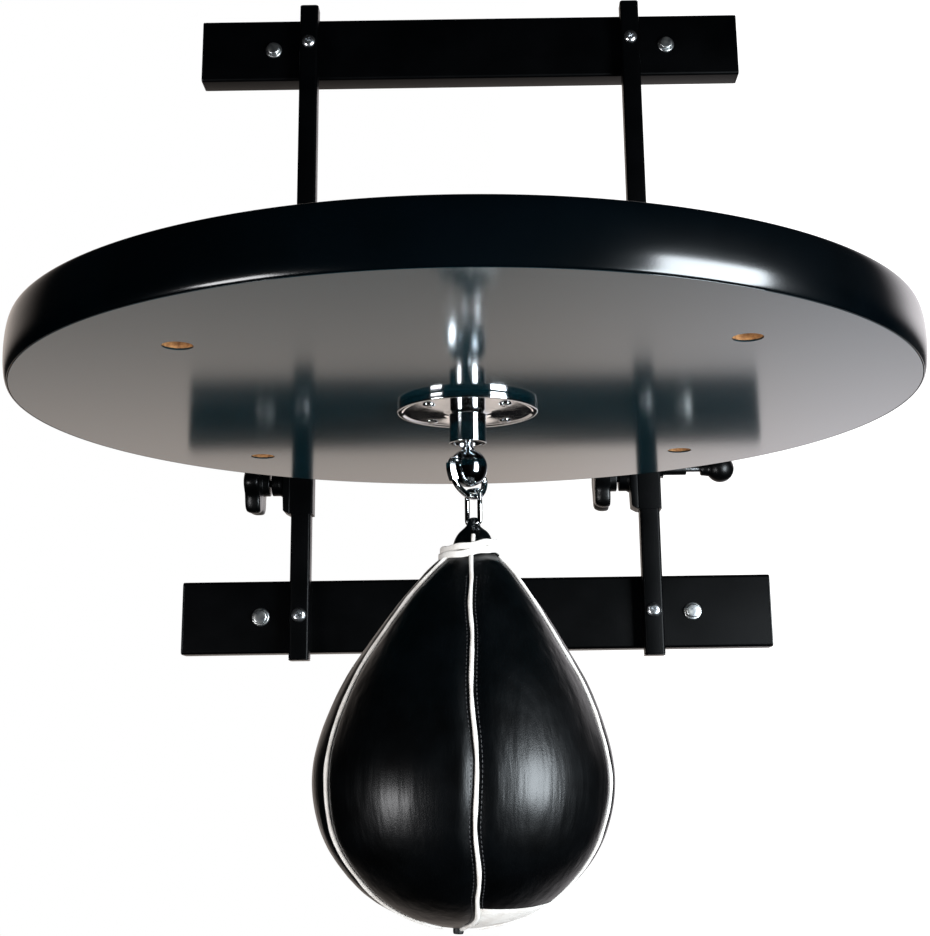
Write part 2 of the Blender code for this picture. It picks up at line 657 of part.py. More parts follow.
def make_pull_pin():
    """Barrel, spring, plunger and ball knob on the right of the right sleeve, along +X."""
    axis = make_empty("pin_axis", (POST_SPACING / 2, POST_CENTRE_Y, PIN_Z), ALONG_X)
    flange_start = SLEEVE_OUTER + GAP
    flange_radius, flange_end = 0.0090, flange_start + 0.0035
    barrel_start = flange_end - 0.0010
    end_wall = 0.0020
    clear = PIN_RADIUS + GAP
    barrel = [
        (clear, flange_start), (flange_radius, flange_start), (flange_radius, flange_end - 0.0005),
        (flange_radius - 0.0005, flange_end), (BARREL_RADIUS, flange_end),
        (BARREL_RADIUS, BARREL_END - 0.0006),
        (BARREL_RADIUS - 0.0006, BARREL_END), (clear, BARREL_END), (clear, BARREL_END - end_wall),
        (BARREL_BORE, BARREL_END - end_wall), (BARREL_BORE, barrel_start), (clear, barrel_start),
    ]
    make_object("pin_barrel", *turned(barrel, ROUND), "black_plastic", parent=axis)

    tip = POST_SIZE / 2 - 0.0050
    collar_start, collar_end = barrel_start + GAP, barrel_start + 0.0022
    rod_end = BARREL_END + ROD_BARE + 0.010
    plunger = [
        (0, tip), (PIN_RADIUS - 0.0008, tip), (PIN_RADIUS, tip + 0.0008), (PIN_RADIUS, collar_start),
        (BARREL_BORE - GAP, collar_start), (BARREL_BORE - GAP, collar_end), (PIN_RADIUS, collar_end),
        (PIN_RADIUS, rod_end), (0, rod_end),
    ]
    make_object("pin_plunger", *turned(plunger, ROUND), "chrome", parent=axis)

    wire, turns, steps = 0.00035, 5, 10
    coil_start, coil_end = collar_end + wire + GAP, BARREL_END - end_wall - wire - GAP
    coil_radius = (clear + BARREL_BORE) / 2 + 0.00012
    path = []
    for i in range(turns * steps + 1):
        angle = 2 * math.pi * i / steps
        z = coil_start + (coil_end - coil_start) * i / (turns * steps)
        path.append((coil_radius * math.cos(angle), coil_radius * math.sin(angle), z))
    make_object("pin_spring", *swept(path, wire, 5, False), "spring_steel", parent=axis)

    start = BARREL_END + ROD_BARE
    end = start + BALL_KNOB_LENGTH
    centre = end - BALL_KNOB_RADIUS
    bore_end = rod_end + GAP
    knob = [(0, bore_end), (clear, bore_end), (clear, start), (0.0062, start), (0.0068, start + 0.0006),
            (0.0072, start + 0.006)]
    for step in range(7):
        angle = math.radians(140 - 125 * step / 6)
        knob.append((BALL_KNOB_RADIUS * math.sin(angle), centre + BALL_KNOB_RADIUS * math.cos(angle)))
    knob.append((0, end))
    make_object("pin_ball_knob", *turned(knob, 24), "black_plastic", parent=axis)


# ---------------------------------------------------------------- swivel and links

HUNG_FROM = (0.0, DRUM_CENTRE_Y, DRUM_Z)
BALL_CENTRE = Vector((0.0, DRUM_CENTRE_Y, DRUM_Z - BALL_DEPTH))
HOLE_AXIS = Vector((-0.58, -0.78, 0.24)).normalized()  # cross hole in the ball
LINK_LEAN = Vector((0.13, 0.0, -0.99))  # roughly where the ball link hangs
LINK_DOWN = (LINK_LEAN - HOLE_AXIS * HOLE_AXIS.dot(LINK_LEAN)).normalized()
LINK_STRAIGHT = 0.0145  # half the ball link's straight, inside the ball
LINK_CORNER = 0.0045
LINK_DROP = 0.0152


def ball_link_path():
    """Centre line of the ball link: a D whose straight side passes through the ball."""
    flat = []
    for step in range(5):
        flat.append((LINK_STRAIGHT * (-1 + 2 * step / 4), 0.0))
    for step in range(1, 4):
        angle = math.pi / 2 * step / 4
        flat.append((LINK_STRAIGHT + LINK_CORNER * math.sin(angle), LINK_CORNER * (1 - math.cos(angle))))
    wide = LINK_STRAIGHT + LINK_CORNER
    for step in range(17):
        angle = math.pi * step / 16
        flat.append((wide * math.cos(angle), LINK_CORNER + LINK_DROP * math.sin(angle)))
    for step in range(3, 0, -1):
        angle = math.pi / 2 * step / 4
        flat.append((-LINK_STRAIGHT - LINK_CORNER * math.sin(angle), LINK_CORNER * (1 - math.cos(angle))))
    return [HOLE_AXIS * u + LINK_DOWN * v for u, v in flat]


def lowest_point(path):
    """The lowest point of a path."""
    return min(path, key=lambda point: point.z)


def make_swivel():
    depth = SWIVEL_HUB_DEPTH
    hub = SWIVEL_HUB_RADIUS
    cavity, cavity_top = 0.0100, -0.0095
    flange = [
        (0, -GAP), (FLANGE_RADIUS - 0.0005, -GAP), (FLANGE_RADIUS, -0.0010), (FLANGE_RADIUS, -0.0043),
        (FLANGE_RADIUS - 0.0008, -0.0050), (FLANGE_RADIUS - 0.0028, -0.0050),
        (FLANGE_RADIUS - 0.0045, -0.0042),
        (0.0300, -0.0040), (0.0200, -0.0046), (0.0155, -0.0058), (hub + 0.0006, -0.0085), (hub, -0.0110),
        (hub, -depth + 0.0008), (hub - 0.0008, -depth), (cavity, -depth), (cavity, cavity_top),
        (0, cavity_top),
    ]
    body = make_object("swivel_flange", *turned(flange, 40), "chrome", HUNG_FROM)
    screw_holes = []
    for _, x, y in flange_screw_places():
        screw_holes.append(drill((x, y, DRUM_Z - 0.010), (0, 0, 1), FLANGE_SCREW_SHANK + GAP, 0.012, 12))
    cut(body, screw_holes)
    for name, x, y in flange_screw_places():
        head, shank, seat = 0.0044, FLANGE_SCREW_SHANK, -0.0044
        screw = [(0, seat - 0.0022), (head * 0.6, seat - 0.0020), (head, seat - 0.0008), (head, seat),
                 (shank, seat), (shank, 0.020), (0, 0.0215)]
        make_object(f"flange_screw_{name}", *turned(screw, 16), "chrome", (x, y, DRUM_Z))

    neck = SPINDLE_RADIUS + GAP
    ring_low, ring_high = -depth + 0.0004, -0.0200
    ring = [(neck, ring_low), (cavity - GAP, ring_low), (cavity - GAP, ring_high), (neck, ring_high)]
    retainer = make_object("swivel_retainer", *turned(ring, 30), "chrome", HUNG_FROM)
    spanner = []
    for index in range(6):
        angle = math.pi / 3 * index + math.pi / 6
        x, y = 0.0067 * math.cos(angle), 0.0067 * math.sin(angle)
        spanner.append(drill((x, DRUM_CENTRE_Y + y, DRUM_Z - depth - 0.002), (0, 0, 1), 0.0012, 0.0050, 10))
    cut(retainer, spanner)
    race = [(neck, -0.0197), (0.0094, -0.0197), (0.0094, -0.0165), (neck, -0.0165)]
    make_object("thrust_bearing", *turned(race, 24), "spring_steel", HUNG_FROM)

    shank_end = -BALL_DEPTH + 0.0065
    spindle = [(0, -0.0120), (0.0088, -0.0120), (0.0088, -0.0162), (SPINDLE_RADIUS, -0.0162),
               (SPINDLE_RADIUS, shank_end), (0, shank_end)]
    make_object("swivel_spindle", *turned(spindle, ROUND), "chrome", HUNG_FROM)

    steps = 12
    sphere = [(0, BALL_RADIUS)]
    for step in range(1, steps):
        angle = math.pi * step / steps
        sphere.append((BALL_RADIUS * math.sin(angle), BALL_RADIUS * math.cos(angle)))
    sphere.append((0, -BALL_RADIUS))
    ball = make_object("swivel_ball", *turned(sphere, 24), "chrome", BALL_CENTRE)
    socket = drill(BALL_CENTRE + Vector((0, 0, 0.0062)), (0, 0, 1), SPINDLE_RADIUS + GAP, 0.010, 16)
    cross = drill(BALL_CENTRE - HOLE_AXIS * 0.016, HOLE_AXIS, BALL_LINK_WIRE + 0.0007, 0.032, 16)
    cut(ball, [socket], "socket")
    cut(ball, [cross], "cross_hole")


def make_links():
    """The ball link through the ball, the lower link on it, and the bag's pivot below."""
    path = ball_link_path()
    make_object("ball_link", *swept(path, BALL_LINK_WIRE, 8), "chrome", BALL_CENTRE)
    lowest = BALL_CENTRE + lowest_point(path)
    tangent = Vector((HOLE_AXIS.x, HOLE_AXIS.y, 0)).normalized()
    across = Vector((-tangent.y, tangent.x, 0))
    top = lowest.z + BALL_LINK_WIRE + GAP + LOWER_LINK_WIRE
    bottom = DRUM_Z - BAG_PIVOT_DEPTH
    outline = rounded_rectangle(2 * LOWER_LINK_HALF_WIDTH, top - bottom, LOWER_LINK_CORNER, 3)
    middle = (top + bottom) / 2 - lowest.z
    ring = [across * x + Vector((0, 0, z + middle)) for x, z in outline]
    make_object("lower_link", *swept(ring, LOWER_LINK_WIRE, 8), "chrome", lowest)
    return Vector((lowest.x, lowest.y, bottom)), tangent, across


# ---------------------------------------------------------------- bag

BAG_OUTLINE = (  # radius and depth below the pivot, along the bag's axis
    (0.0150, 0.0215), (0.0215, 0.0262), (0.0300, 0.0345), (0.0470, 0.0540), (0.0640, 0.0790),
    (0.0790, 0.1030), (0.0895, 0.1270), (0.0962, 0.1500), (0.0975, 0.1680), (0.0950, 0.1860),
    (0.0890, 0.2040), (0.0780, 0.2205), (0.0610, 0.2370), (0.0410, 0.2480), (0.0200, 0.2545),
)


def inset_outline(points, distance):
    """The outline moved inwards by a distance, along its own normals."""
    result = []
    for i, (radius, depth) in enumerate(points):
        before, after = points[max(i - 1, 0)], points[min(i + 1, len(points) - 1)]
        along = Vector((after[0] - before[0], after[1] - before[1])).normalized()
        result.append((radius - along.y * distance, depth + along.x * distance))
    return result


def make_bag(pivot, tangent, across):
    """Hanger, collar, leather shell with its openings, and the bladder inside."""
    axis = make_empty("bag_axis", pivot, Matrix.Rotation(BAG_TILT, 4, "Y"))
    outline = list(BAG_OUTLINE) + [(VALVE_HOLE_RADIUS, BAG_LENGTH)]
    inner = inset_outline(outline, BAG_WALL)
    inner[-1] = (VALVE_HOLE_RADIUS, BAG_LENGTH - BAG_WALL)
    shell = [(r, -d) for r, d in outline] + [(r, -d) for r, d in reversed(inner)]
    make_object("bag_shell", *turned(shell, 36), "black_leather", parent=axis)

    rubber, clear = 0.0010, 0.0006
    bladder_outside = [p for p in inset_outline(outline, BAG_WALL + clear) if p[0] > 0.020 and p[1] > 0.045]
    bladder_inside = inset_outline(bladder_outside, rubber)
    top = bladder_outside[0][1] - 0.004
    stem, bore, stem_end = 0.0032, 0.0010, BAG_LENGTH + 0.004
    bottom = BAG_LENGTH - BAG_WALL - clear
    profile = [(0, -top)] + [(r, -d) for r, d in bladder_outside]
    profile += [(stem, -bottom), (stem, -stem_end), (bore, -stem_end), (bore, -(bottom - rubber))]
    profile += [(r, -d) for r, d in reversed(bladder_inside)] + [(0, -(top + rubber))]
    make_object("bag_bladder", *turned(profile, 24), "bladder_rubber", parent=axis)

    inside, outside = 0.0158, 0.0195
    collar = [(inside, -COLLAR_TOP), (outside - 0.0012, -COLLAR_TOP), (outside, -COLLAR_TOP - 0.0012)]
    collar += [(outside + 0.001, -0.0190), (outside + 0.0005, -0.0215), (inside, -0.0208)]
    make_object("bag_collar", *turned(collar, 30), "white_leather", parent=axis)

    # Folded strap: width runs along the lower link's bottom wire, thickness along the tangent.
    levels = [(0.0040, 0.0022, 0.0008), (0.0032, 0.0025, 0.0025), (0.0018, 0.0026, 0.0036),
              (0.0, 0.0028, 0.0044), (-0.0036, 0.0042, 0.0058), (-0.0065, 0.0088, 0.0072),
              (-0.0095, 0.0112, 0.0086),
              (-0.0135, 0.0124, 0.0100), (-0.0190, 0.0126, 0.0106), (-0.0290, 0.0105, 0.0080)]
    vertices, faces = [], []
    corners = 8
    for z, half_width, half_thickness in levels:
        corner = 0.6 * min(half_width, half_thickness)
        for px, py in rounded_rectangle(2 * half_width, 2 * half_thickness, corner, 1):
            vertices.append(across * px + tangent * py + Vector((0, 0, z)))
    for level in range(len(levels) - 1):
        for i in range(corners):
            j, base = (i + 1) % corners, level * corners
            faces.append([base + i, base + j, base + corners + j, base + corners + i])
    faces += [list(range(corners)), list(range((len(levels) - 1) * corners, len(levels) * corners))]
    hanger = make_object("bag_hanger", vertices, faces, "black_leather", parent=axis)
    eye = drill(pivot - across * 0.006, across, LOWER_LINK_WIRE + 0.0004, 0.012, 16)
    cut(hanger, [eye], "eye")


make_wall_frame()
make_carriage()
for clamp_name, clamp_side in SIDES:
    make_clamp(clamp_name, clamp_side)
make_pull_pin()
make_swivel()
make_bag(*make_links())
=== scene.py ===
"""Looks of the speed bag platform: materials, detailed pieces, light and camera."""
import functools
import json
from math import cos, exp, pi, radians, sin

import bmesh
import bpy
from mathutils import Matrix, Vector, noise


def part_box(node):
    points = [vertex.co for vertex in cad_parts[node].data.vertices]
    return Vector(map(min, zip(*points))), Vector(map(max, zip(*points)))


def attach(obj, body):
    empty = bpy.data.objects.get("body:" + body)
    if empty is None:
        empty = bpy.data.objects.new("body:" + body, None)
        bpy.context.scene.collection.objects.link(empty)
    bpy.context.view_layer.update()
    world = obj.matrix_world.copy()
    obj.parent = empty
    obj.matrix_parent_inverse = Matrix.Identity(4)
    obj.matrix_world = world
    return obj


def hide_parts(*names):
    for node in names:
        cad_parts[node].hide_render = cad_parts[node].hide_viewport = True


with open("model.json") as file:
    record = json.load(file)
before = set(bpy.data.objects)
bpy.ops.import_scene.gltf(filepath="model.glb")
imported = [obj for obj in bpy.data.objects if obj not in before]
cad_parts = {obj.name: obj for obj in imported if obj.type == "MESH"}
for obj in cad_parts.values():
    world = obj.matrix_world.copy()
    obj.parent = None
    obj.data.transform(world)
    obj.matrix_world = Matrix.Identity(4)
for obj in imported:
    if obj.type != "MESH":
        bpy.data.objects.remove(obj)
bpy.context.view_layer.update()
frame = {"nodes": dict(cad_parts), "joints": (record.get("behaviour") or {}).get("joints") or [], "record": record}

NODES = frame["nodes"]
TURN = 2 * pi


# ---- materials

def map_range(nodes, links, value, low, high, at_low, at_high, curve="LINEAR"):
    """A Map Range node's output: value between low and high becomes at_low to at_high."""
    made = nodes.new("ShaderNodeMapRange")
    made.interpolation_type = curve
    for socket, number in zip(("From Min", "From Max", "To Min", "To Max"), (low, high, at_low, at_high)):
        made.inputs[socket].default_value = number
    links.new(value, made.inputs["Value"])
    return made.outputs["Result"]


def material(name, colour, roughness, metallic=0.0, patches=None, roughness_to=None, patch_scale=18,
             bumps=(), **own):
    """A Principled material whose colour and roughness drift over the surface, with layered bump.

    patches and roughness_to are what they drift to, and each bump is a grain().
    """
    made = bpy.data.materials.new(name)
    made.use_nodes = True
    nodes, links = made.node_tree.nodes, made.node_tree.links
    shader = nodes["Principled BSDF"]
    shader.inputs["Base Color"].default_value = (*colour, 1)
    shader.inputs["Roughness"].default_value = roughness
    shader.inputs["Metallic"].default_value = metallic
    for socket, value in own.items():
        shader.inputs[socket.replace("_", " ")].default_value = value
    place = nodes.new("ShaderNodeTexCoord")

    def noise_at(scale, detail, stretch=(1, 1, 1), kind="noise"):
        mapping = nodes.new("ShaderNodeMapping")
        mapping.inputs["Scale"].default_value = stretch
        links.new(place.outputs["Object"], mapping.inputs["Vector"])
        texture = nodes.new("ShaderNodeTexVoronoi" if kind == "voronoi" else "ShaderNodeTexNoise")
        texture.inputs["Scale"].default_value = scale
        texture.inputs["Detail"].default_value = detail
        links.new(mapping.outputs["Vector"], texture.inputs["Vector"])
        return texture.outputs["Distance" if kind == "voronoi" else "Fac"]

    if patches or roughness_to is not None:
        drift = noise_at(patch_scale, 4)
        if patches:
            ramp = nodes.new("ShaderNodeValToRGB")
            ramp.color_ramp.elements[0].position = 0.35
            ramp.color_ramp.elements[1].position = 0.68
            ramp.color_ramp.elements[0].color = (*colour, 1)
            ramp.color_ramp.elements[1].color = (*patches, 1)
            links.new(drift, ramp.inputs["Fac"])
            links.new(ramp.outputs["Color"], shader.inputs["Base Color"])
        if roughness_to is not None:
            links.new(map_range(nodes, links, drift, 0.3, 0.7, roughness, roughness_to),
                      shader.inputs["Roughness"])
    below = None
    for scale, strength, distance, detail, stretch, kind in bumps:
        bump = nodes.new("ShaderNodeBump")
        bump.inputs["Strength"].default_value = strength
        bump.inputs["Distance"].default_value = distance
        links.new(noise_at(scale, detail, stretch, kind), bump.inputs["Height"])
        if below:
            links.new(below, bump.inputs["Normal"])
        below = bump.outputs["Normal"]
    if below:
        links.new(below, shader.inputs["Normal"])
    return made


def grain(scale, strength, distance, detail=2, stretch=(1, 1, 1), kind="noise"):
    """One bump layer of a material: bumps per metre, strength, height, and the texture's settings."""
    return scale, strength, distance, detail, stretch, kind


POWDER = material("powder_coat", (0.0001, 0.0002, 0.0003), 0.33, patches=(0.0003, 0.0004, 0.0006),
                  roughness_to=0.4, bumps=[grain(900, 0.22, 0.0003)], Specular_IOR_Level=0.11)
PLASTIC = material("moulded_plastic", (0.0004, 0.0005, 0.0006), 0.28, patches=(0.0009, 0.001, 0.0012),
                   roughness_to=0.38, patch_scale=60, bumps=[grain(1400, 0.25, 0.0002)],
                   Specular_IOR_Level=0.3)
ZINC = material("zinc_plate", (0.6, 0.63, 0.66), 0.26, 1.0, patches=(0.7, 0.7, 0.66),
                roughness_to=0.38, patch_scale=220, bumps=[grain(1800, 0.15, 0.0001, 3)])
CHROME = material("chrome_plate", (0.88, 0.89, 0.9), 0.045, 1.0, patches=(0.82, 0.84, 0.86),
                  roughness_to=0.1, patch_scale=140, bumps=[grain(60, 0.03, 0.0004)])
CHROME_WORN = material("chrome_plate_worn", (0.84, 0.85, 0.86), 0.22, 1.0, patches=(0.74, 0.77, 0.8),
                       roughness_to=0.32, patch_scale=260, bumps=[grain(900, 0.12, 0.0002)])
# The ball's chrome, darkened in colour: a painted dark reflection standing in for the dark surroundings the ball
# mirrors.
CHROME_PAINTED_DARK = material("chrome_plate_painted_dark_reflection", (0.42, 0.46, 0.49), 0.06, 1.0, patches=(0.36, 0.4, 0.43),
                       roughness_to=0.1, patch_scale=140, bumps=[grain(60, 0.03, 0.0004)])
STEEL = material("bare_steel", (0.42, 0.42, 0.43), 0.3, 1.0, patches=(0.34, 0.33, 0.32),
                 roughness_to=0.42, patch_scale=300, bumps=[grain(2500, 0.1, 0.0001)])
WOOD = material("raw_board", (0.44, 0.21, 0.072), 0.8, patches=(0.22, 0.09, 0.028), patch_scale=420,
                bumps=[grain(700, 0.6, 0.0006, 5, (1, 1, 2.5))])
EDGE = material("gloss_edge", (0.0001, 0.0005, 0.0008), 0.14, patches=(0.0003, 0.0011, 0.0018),
                roughness_to=0.18, patch_scale=9, Specular_IOR_Level=0.55,
                bumps=[grain(14, 0.06, 0.002, 2, (1, 1, 3)), grain(700, 0.04, 0.0002)])
LAMINATE = material("gloss_laminate", (0.0019, 0.016, 0.0215), 0.1, patches=(0.003, 0.018, 0.0245),
                    roughness_to=0.12, patch_scale=7, bumps=[grain(500, 0.05, 0.0002)])
LEATHER = material("black_leather", (0.0001, 0.0002, 0.0003), 0.29, patches=(0.0003, 0.0006, 0.0009),
                   roughness_to=0.35, patch_scale=40, Specular_IOR_Level=0.33,
                   bumps=[grain(110, 0.42, 0.0012, 3, (1, 1, 0.07)),
                          grain(950, 0.1, 0.0002, 0, kind="voronoi"), grain(1700, 0.1, 0.0002)])
WHITE_LEATHER = material("white_leather", (0.74, 0.72, 0.69), 0.5, patches=(0.58, 0.54, 0.5),
                         roughness_to=0.62, patch_scale=90,
                         bumps=[grain(420, 0.35, 0.0004, 3), grain(1300, 0.3, 0.0002, 0, kind="voronoi")])
THREAD = material("stitching_thread", (0.03, 0.03, 0.032), 0.55, patches=(0.012, 0.012, 0.013),
                  patch_scale=500, bumps=[grain(2600, 0.5, 0.0002, 2, (1, 1, 3))])
RUBBER = material("bladder_rubber", (0.003, 0.003, 0.0034), 0.5, patches=(0.006, 0.006, 0.0065),
                  roughness_to=0.65, patch_scale=200, bumps=[grain(1500, 0.3, 0.0002)])

# The record's material slot of each finish.
SLOTS = {
    POWDER: "powder_coat", PLASTIC: "black_plastic", ZINC: "zinc", CHROME: "chrome", CHROME_PAINTED_DARK: "chrome",
    CHROME_WORN: "chrome", STEEL: "spring_steel", WOOD: "board_wood", EDGE: "edge_band",
    LAMINATE: "laminate", LEATHER: "black_leather", WHITE_LEATHER: "white_leather",
    THREAD: "white_leather", RUBBER: "bladder_rubber",
}
VARIANTS = (THREAD, CHROME_PAINTED_DARK, CHROME_WORN)
FINISH_OF = {slot: made for made, slot in SLOTS.items() if made not in VARIANTS}
for row in frame["record"]["subparts"]:
    node = NODES[row["node"]]
    node.data.materials.clear()
    node.data.materials.append(FINISH_OF[row["material_slot"]])


# ---- shapes

def mesh_of(name, shape, finishes, at=Matrix()):
    """A mesh from (vertices, faces), put in place, with its faces pointing out."""
    mesh = bpy.data.meshes.new(name)
    mesh.from_pydata([tuple(v) for v in shape[0]], [], shape[1])
    mesh.transform(at)
    work = bmesh.new()
    work.from_mesh(mesh)
    bmesh.ops.recalc_face_normals(work, faces=work.faces)
    work.to_mesh(mesh)
    work.free()
    for finish in finishes:
        mesh.materials.append(finish)
    return mesh


def added(name, data):
    """A new object in the scene."""
    made = bpy.data.objects.new(name, data)
    bpy.context.scene.collection.objects.link(made)
    return made


def piece(name, shape, finish, body, stands_for=(), at=Matrix(), sharp=35, finishes=()):
    """A new piece from (vertices, faces), in place, riding on a body and standing for CAD nodes."""
    made = added(name, mesh_of(name, shape, (finish, *finishes), at))
    smooth(made, sharp)
    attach(made, body)
    if stands_for:
        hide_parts(*stands_for)
    return made


def smooth(made, sharp):
    made.data.shade_smooth()
    made.data.set_sharp_from_angle(angle=radians(sharp))


def joined(*shapes):
    """Several (vertices, faces) as one."""
    vertices, faces = [], []
    for more_vertices, more_faces in shapes:
        start = len(vertices)
        vertices += [Vector(v) for v in more_vertices]
        faces += [[start + i for i in face] for face in more_faces]
    return vertices, faces


def moved(shape, matrix):
    return [matrix @ Vector(v) for v in shape[0]], shape[1]


def quads(rows, around):
    """Faces between rings of points that follow each other in one list."""
    return [[r * around + k, r * around + (k + 1) % around, (r + 1) * around + (k + 1) % around,
             (r + 1) * around + k] for r in range(rows - 1) for k in range(around)]


def filleted(points, steps=4):
    """Profile points (radius, height[, fillet]) with each filleted corner turned into a curve."""
    result = []
    for i, point in enumerate(points):
        here = Vector(point[:2])
        if len(point) < 3 or i in (0, len(points) - 1):
            result.append(tuple(here))
            continue
        before, after = (Vector(points[j][:2]) for j in (i - 1, i + 1))
        start = here + (before - here).normalized() * point[2]
        end = here + (after - here).normalized() * point[2]
        for step in range(steps + 1):
            t = step / steps
            result.append(tuple(start * (1 - t) ** 2 + here * 2 * t * (1 - t) + end * t * t))
    return result


def lathe(profile, segments=64, warp=None):
    """A profile turned about Z: solid when it starts and ends at radius 0, else a closed ring.

    warp(radius, angle, height) gives the point's own radius, for flats, lobes and threads.
    """
    vertices, rings, faces = [], [], []
    for radius, height in profile:
        if radius < 1e-9:
            rings.append([len(vertices)])
            vertices.append((0.0, 0.0, height))
            continue
        rings.append(list(range(len(vertices), len(vertices) + segments)))
        for i in range(segments):
            angle = TURN * i / segments
            r = warp(radius, angle, height) if warp else radius
            vertices.append((r * cos(angle), r * sin(angle), height))
    pairs = list(zip(rings, rings[1:]))
    if profile[0][0] > 1e-9:
        pairs.append((rings[-1], rings[0]))
    for lower, upper in pairs:
        for i in range(segments):
            j = (i + 1) % segments
            corners = [lower[i % len(lower)], lower[j % len(lower)],
                       upper[j % len(upper)], upper[i % len(upper)]]
            face = list(dict.fromkeys(corners))
            if len(face) > 2:
                faces.append(face)
    return vertices, faces


def block(low, high, radius=0.0008, steps=3):
    """A box between two corners with all its edges rounded."""
    work = bmesh.new()
    bmesh.ops.create_cube(work, size=1)
    low, high = Vector(low), Vector(high)
    for v in work.verts:
        v.co = Vector([(low[k] + high[k]) / 2 + v.co[k] * (high[k] - low[k]) for k in range(3)])
    bmesh.ops.bevel(work, geom=work.edges[:], offset=radius, segments=steps, profile=0.5, affect="EDGES")
    return taken(work)


def taken(work):
    """The (vertices, faces) of a bmesh, which is freed."""
    work.verts.index_update()
    shape = [v.co.copy() for v in work.verts], [[v.index for v in face.verts] for face in work.faces]
    work.free()
    return shape


def rounded_outline(width, height, radius, steps=6):
    points = []
    for quarter, (sx, sy) in enumerate(((1, 1), (-1, 1), (-1, -1), (1, -1))):
        for step in range(steps + 1):
            angle = pi / 2 * (quarter + step / steps)
            points.append((sx * (width / 2 - radius) + radius * cos(angle),
                           sy * (height / 2 - radius) + radius * sin(angle)))
    return points


def hollow_bar(length, width, height, wall, corner):
    """A rounded rectangular tube along Z, open at both ends."""
    outer = rounded_outline(width, height, corner)
    inner = rounded_outline(width - 2 * wall, height - 2 * wall, max(corner - wall, 0.0004))
    count = len(outer)
    vertices = [(x, y, z) for loop in (outer, inner) for z in (-length / 2, length / 2) for x, y in loop]
    faces = []
    for i in range(count):
        j = (i + 1) % count
        for base in (0, 2 * count):
            faces.append([base + i, base + j, base + count + j, base + count + i])
        for level in (0, count):
            faces.append([level + i, level + j, 2 * count + level + j, 2 * count + level + i])
    return vertices, faces


def end_plug(start, end, width, height, corner):
    """A rounded rectangular plug between two points, its width upright unless it stands upright itself."""
    start, end = Vector(start), Vector(end)
    ahead = (end - start).normalized()
    edge = min(0.0006, (end - start).length / 3)
    path = [start, start + ahead * edge, end - ahead * edge, end]
    up = (0, 0, 1) if abs(ahead.z) < 0.5 else (1, 0, 0)
    return swept(path, rounded_outline(width, height, corner), False, up=up,
                 scale_at=lambda t: 1 - 2 * edge / width if t in (0, 1) else 1)


def swept(path, section, closed=True, up=None, scale_at=None):
    """A section of (x, y) points swept along a path, with flat ends when it isn't closed."""
    points = [Vector(p) for p in path]
    count, sides = len(points), len(section)
    normal, vertices, faces = None, [], []
    for i, point in enumerate(points):
        if closed:
            tangent = (points[(i + 1) % count] - points[i - 1]).normalized()
        else:
            tangent = (points[min(i + 1, count - 1)] - points[max(i - 1, 0)]).normalized()
        if up is not None:
            normal = Vector(up)
        elif normal is None:
            normal = tangent.orthogonal()
        normal = (normal - tangent * normal.dot(tangent)).normalized()
        across = tangent.cross(normal)
        size = scale_at(i / max(count - 1, 1)) if scale_at else 1.0
        vertices += [point + normal * (x * size) + across * (y * size) for x, y in section]
    for i in range(count if closed else count - 1):
        for k in range(sides):
            a, b = i * sides, (i + 1) % count * sides
            faces.append([a + k, a + (k + 1) % sides, b + (k + 1) % sides, b + k])
    if not closed:
        faces += [list(range(sides)), list(range((count - 1) * sides, count * sides))]
    return vertices, faces


def disc(radius, sides=12, flat=1.0):
    """A round section of a sweep; flat squeezes it along its second axis."""
    angles = [TURN * k / sides for k in range(sides)]
    return [(radius * cos(angle), radius * flat * sin(angle)) for angle in angles]


def hexagon(flats):
    """Warp that turns a circle of the corner radius flats into a hexagon."""
    def warp(radius, angle, height):
        if abs(radius - flats) > 1e-5:
            return radius
        return radius * cos(pi / 6) / cos(angle % (pi / 3) - pi / 6)
    return warp


def carve(made, *shapes, keep="DIFFERENCE", sharp=35):
    """Cuts closed shapes out of a piece, or joins them to it, at once."""
    cutter = added("cutter", mesh_of("cutter", joined(*shapes), made.data.materials))
    boolean = made.modifiers.new("carve", "BOOLEAN")
    boolean.operation, boolean.solver, boolean.object = keep, "EXACT", cutter
    boolean.use_self = len(shapes) > 1
    bpy.context.view_layer.update()
    result = bpy.data.meshes.new_from_object(made.evaluated_get(bpy.context.evaluated_depsgraph_get()))
    made.modifiers.remove(boolean)
    made.data = result
    result.name = made.name
    bpy.data.objects.remove(cutter)
    smooth(made, sharp)


def rod(start, direction, radius, length, segments=32):
    """A plain closed cylinder, for cutting."""
    flat = lathe([(0, 0), (radius, 0), (radius, length), (0, length)], segments)
    return moved(flat, facing(direction, start))


def facing(direction, at):
    """A matrix that puts local +Z along a direction, at a place."""
    return Matrix.Translation(at) @ Vector(direction).to_track_quat("Z", "Y").to_matrix().to_4x4()


# ---- places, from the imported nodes

def middle(node):
    low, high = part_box(node)
    return (low + high) / 2


def size_of(node):
    low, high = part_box(node)
    return high - low


SIDES = (("left", -1), ("right", 1))
DRUM = middle("drum_edge_band")
DRUM.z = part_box("drum_edge_band")[0].z
DRUM_RADIUS = size_of("drum_edge_band").x / 2
THICK = size_of("drum_edge_band").z
JOINTS = {joint["name"]: joint for joint in frame["joints"]}
BALL = Vector(JOINTS["link_swing"]["pos_m"])
HOLE = Vector(JOINTS["link_swing"]["axis"]).normalized()
PIVOT = Vector(JOINTS["bag_swing"]["pos_m"])
ACROSS = Vector(JOINTS["bag_swing"]["axis"]).normalized()
TANGENT = Vector(JOINTS["lower_link_swing"]["axis"]).normalized()
PIN_PLACE = middle("pin_plunger")
CORNERS = ("front_left", "front_right", "rear_left", "rear_right")


# ---- wall frame

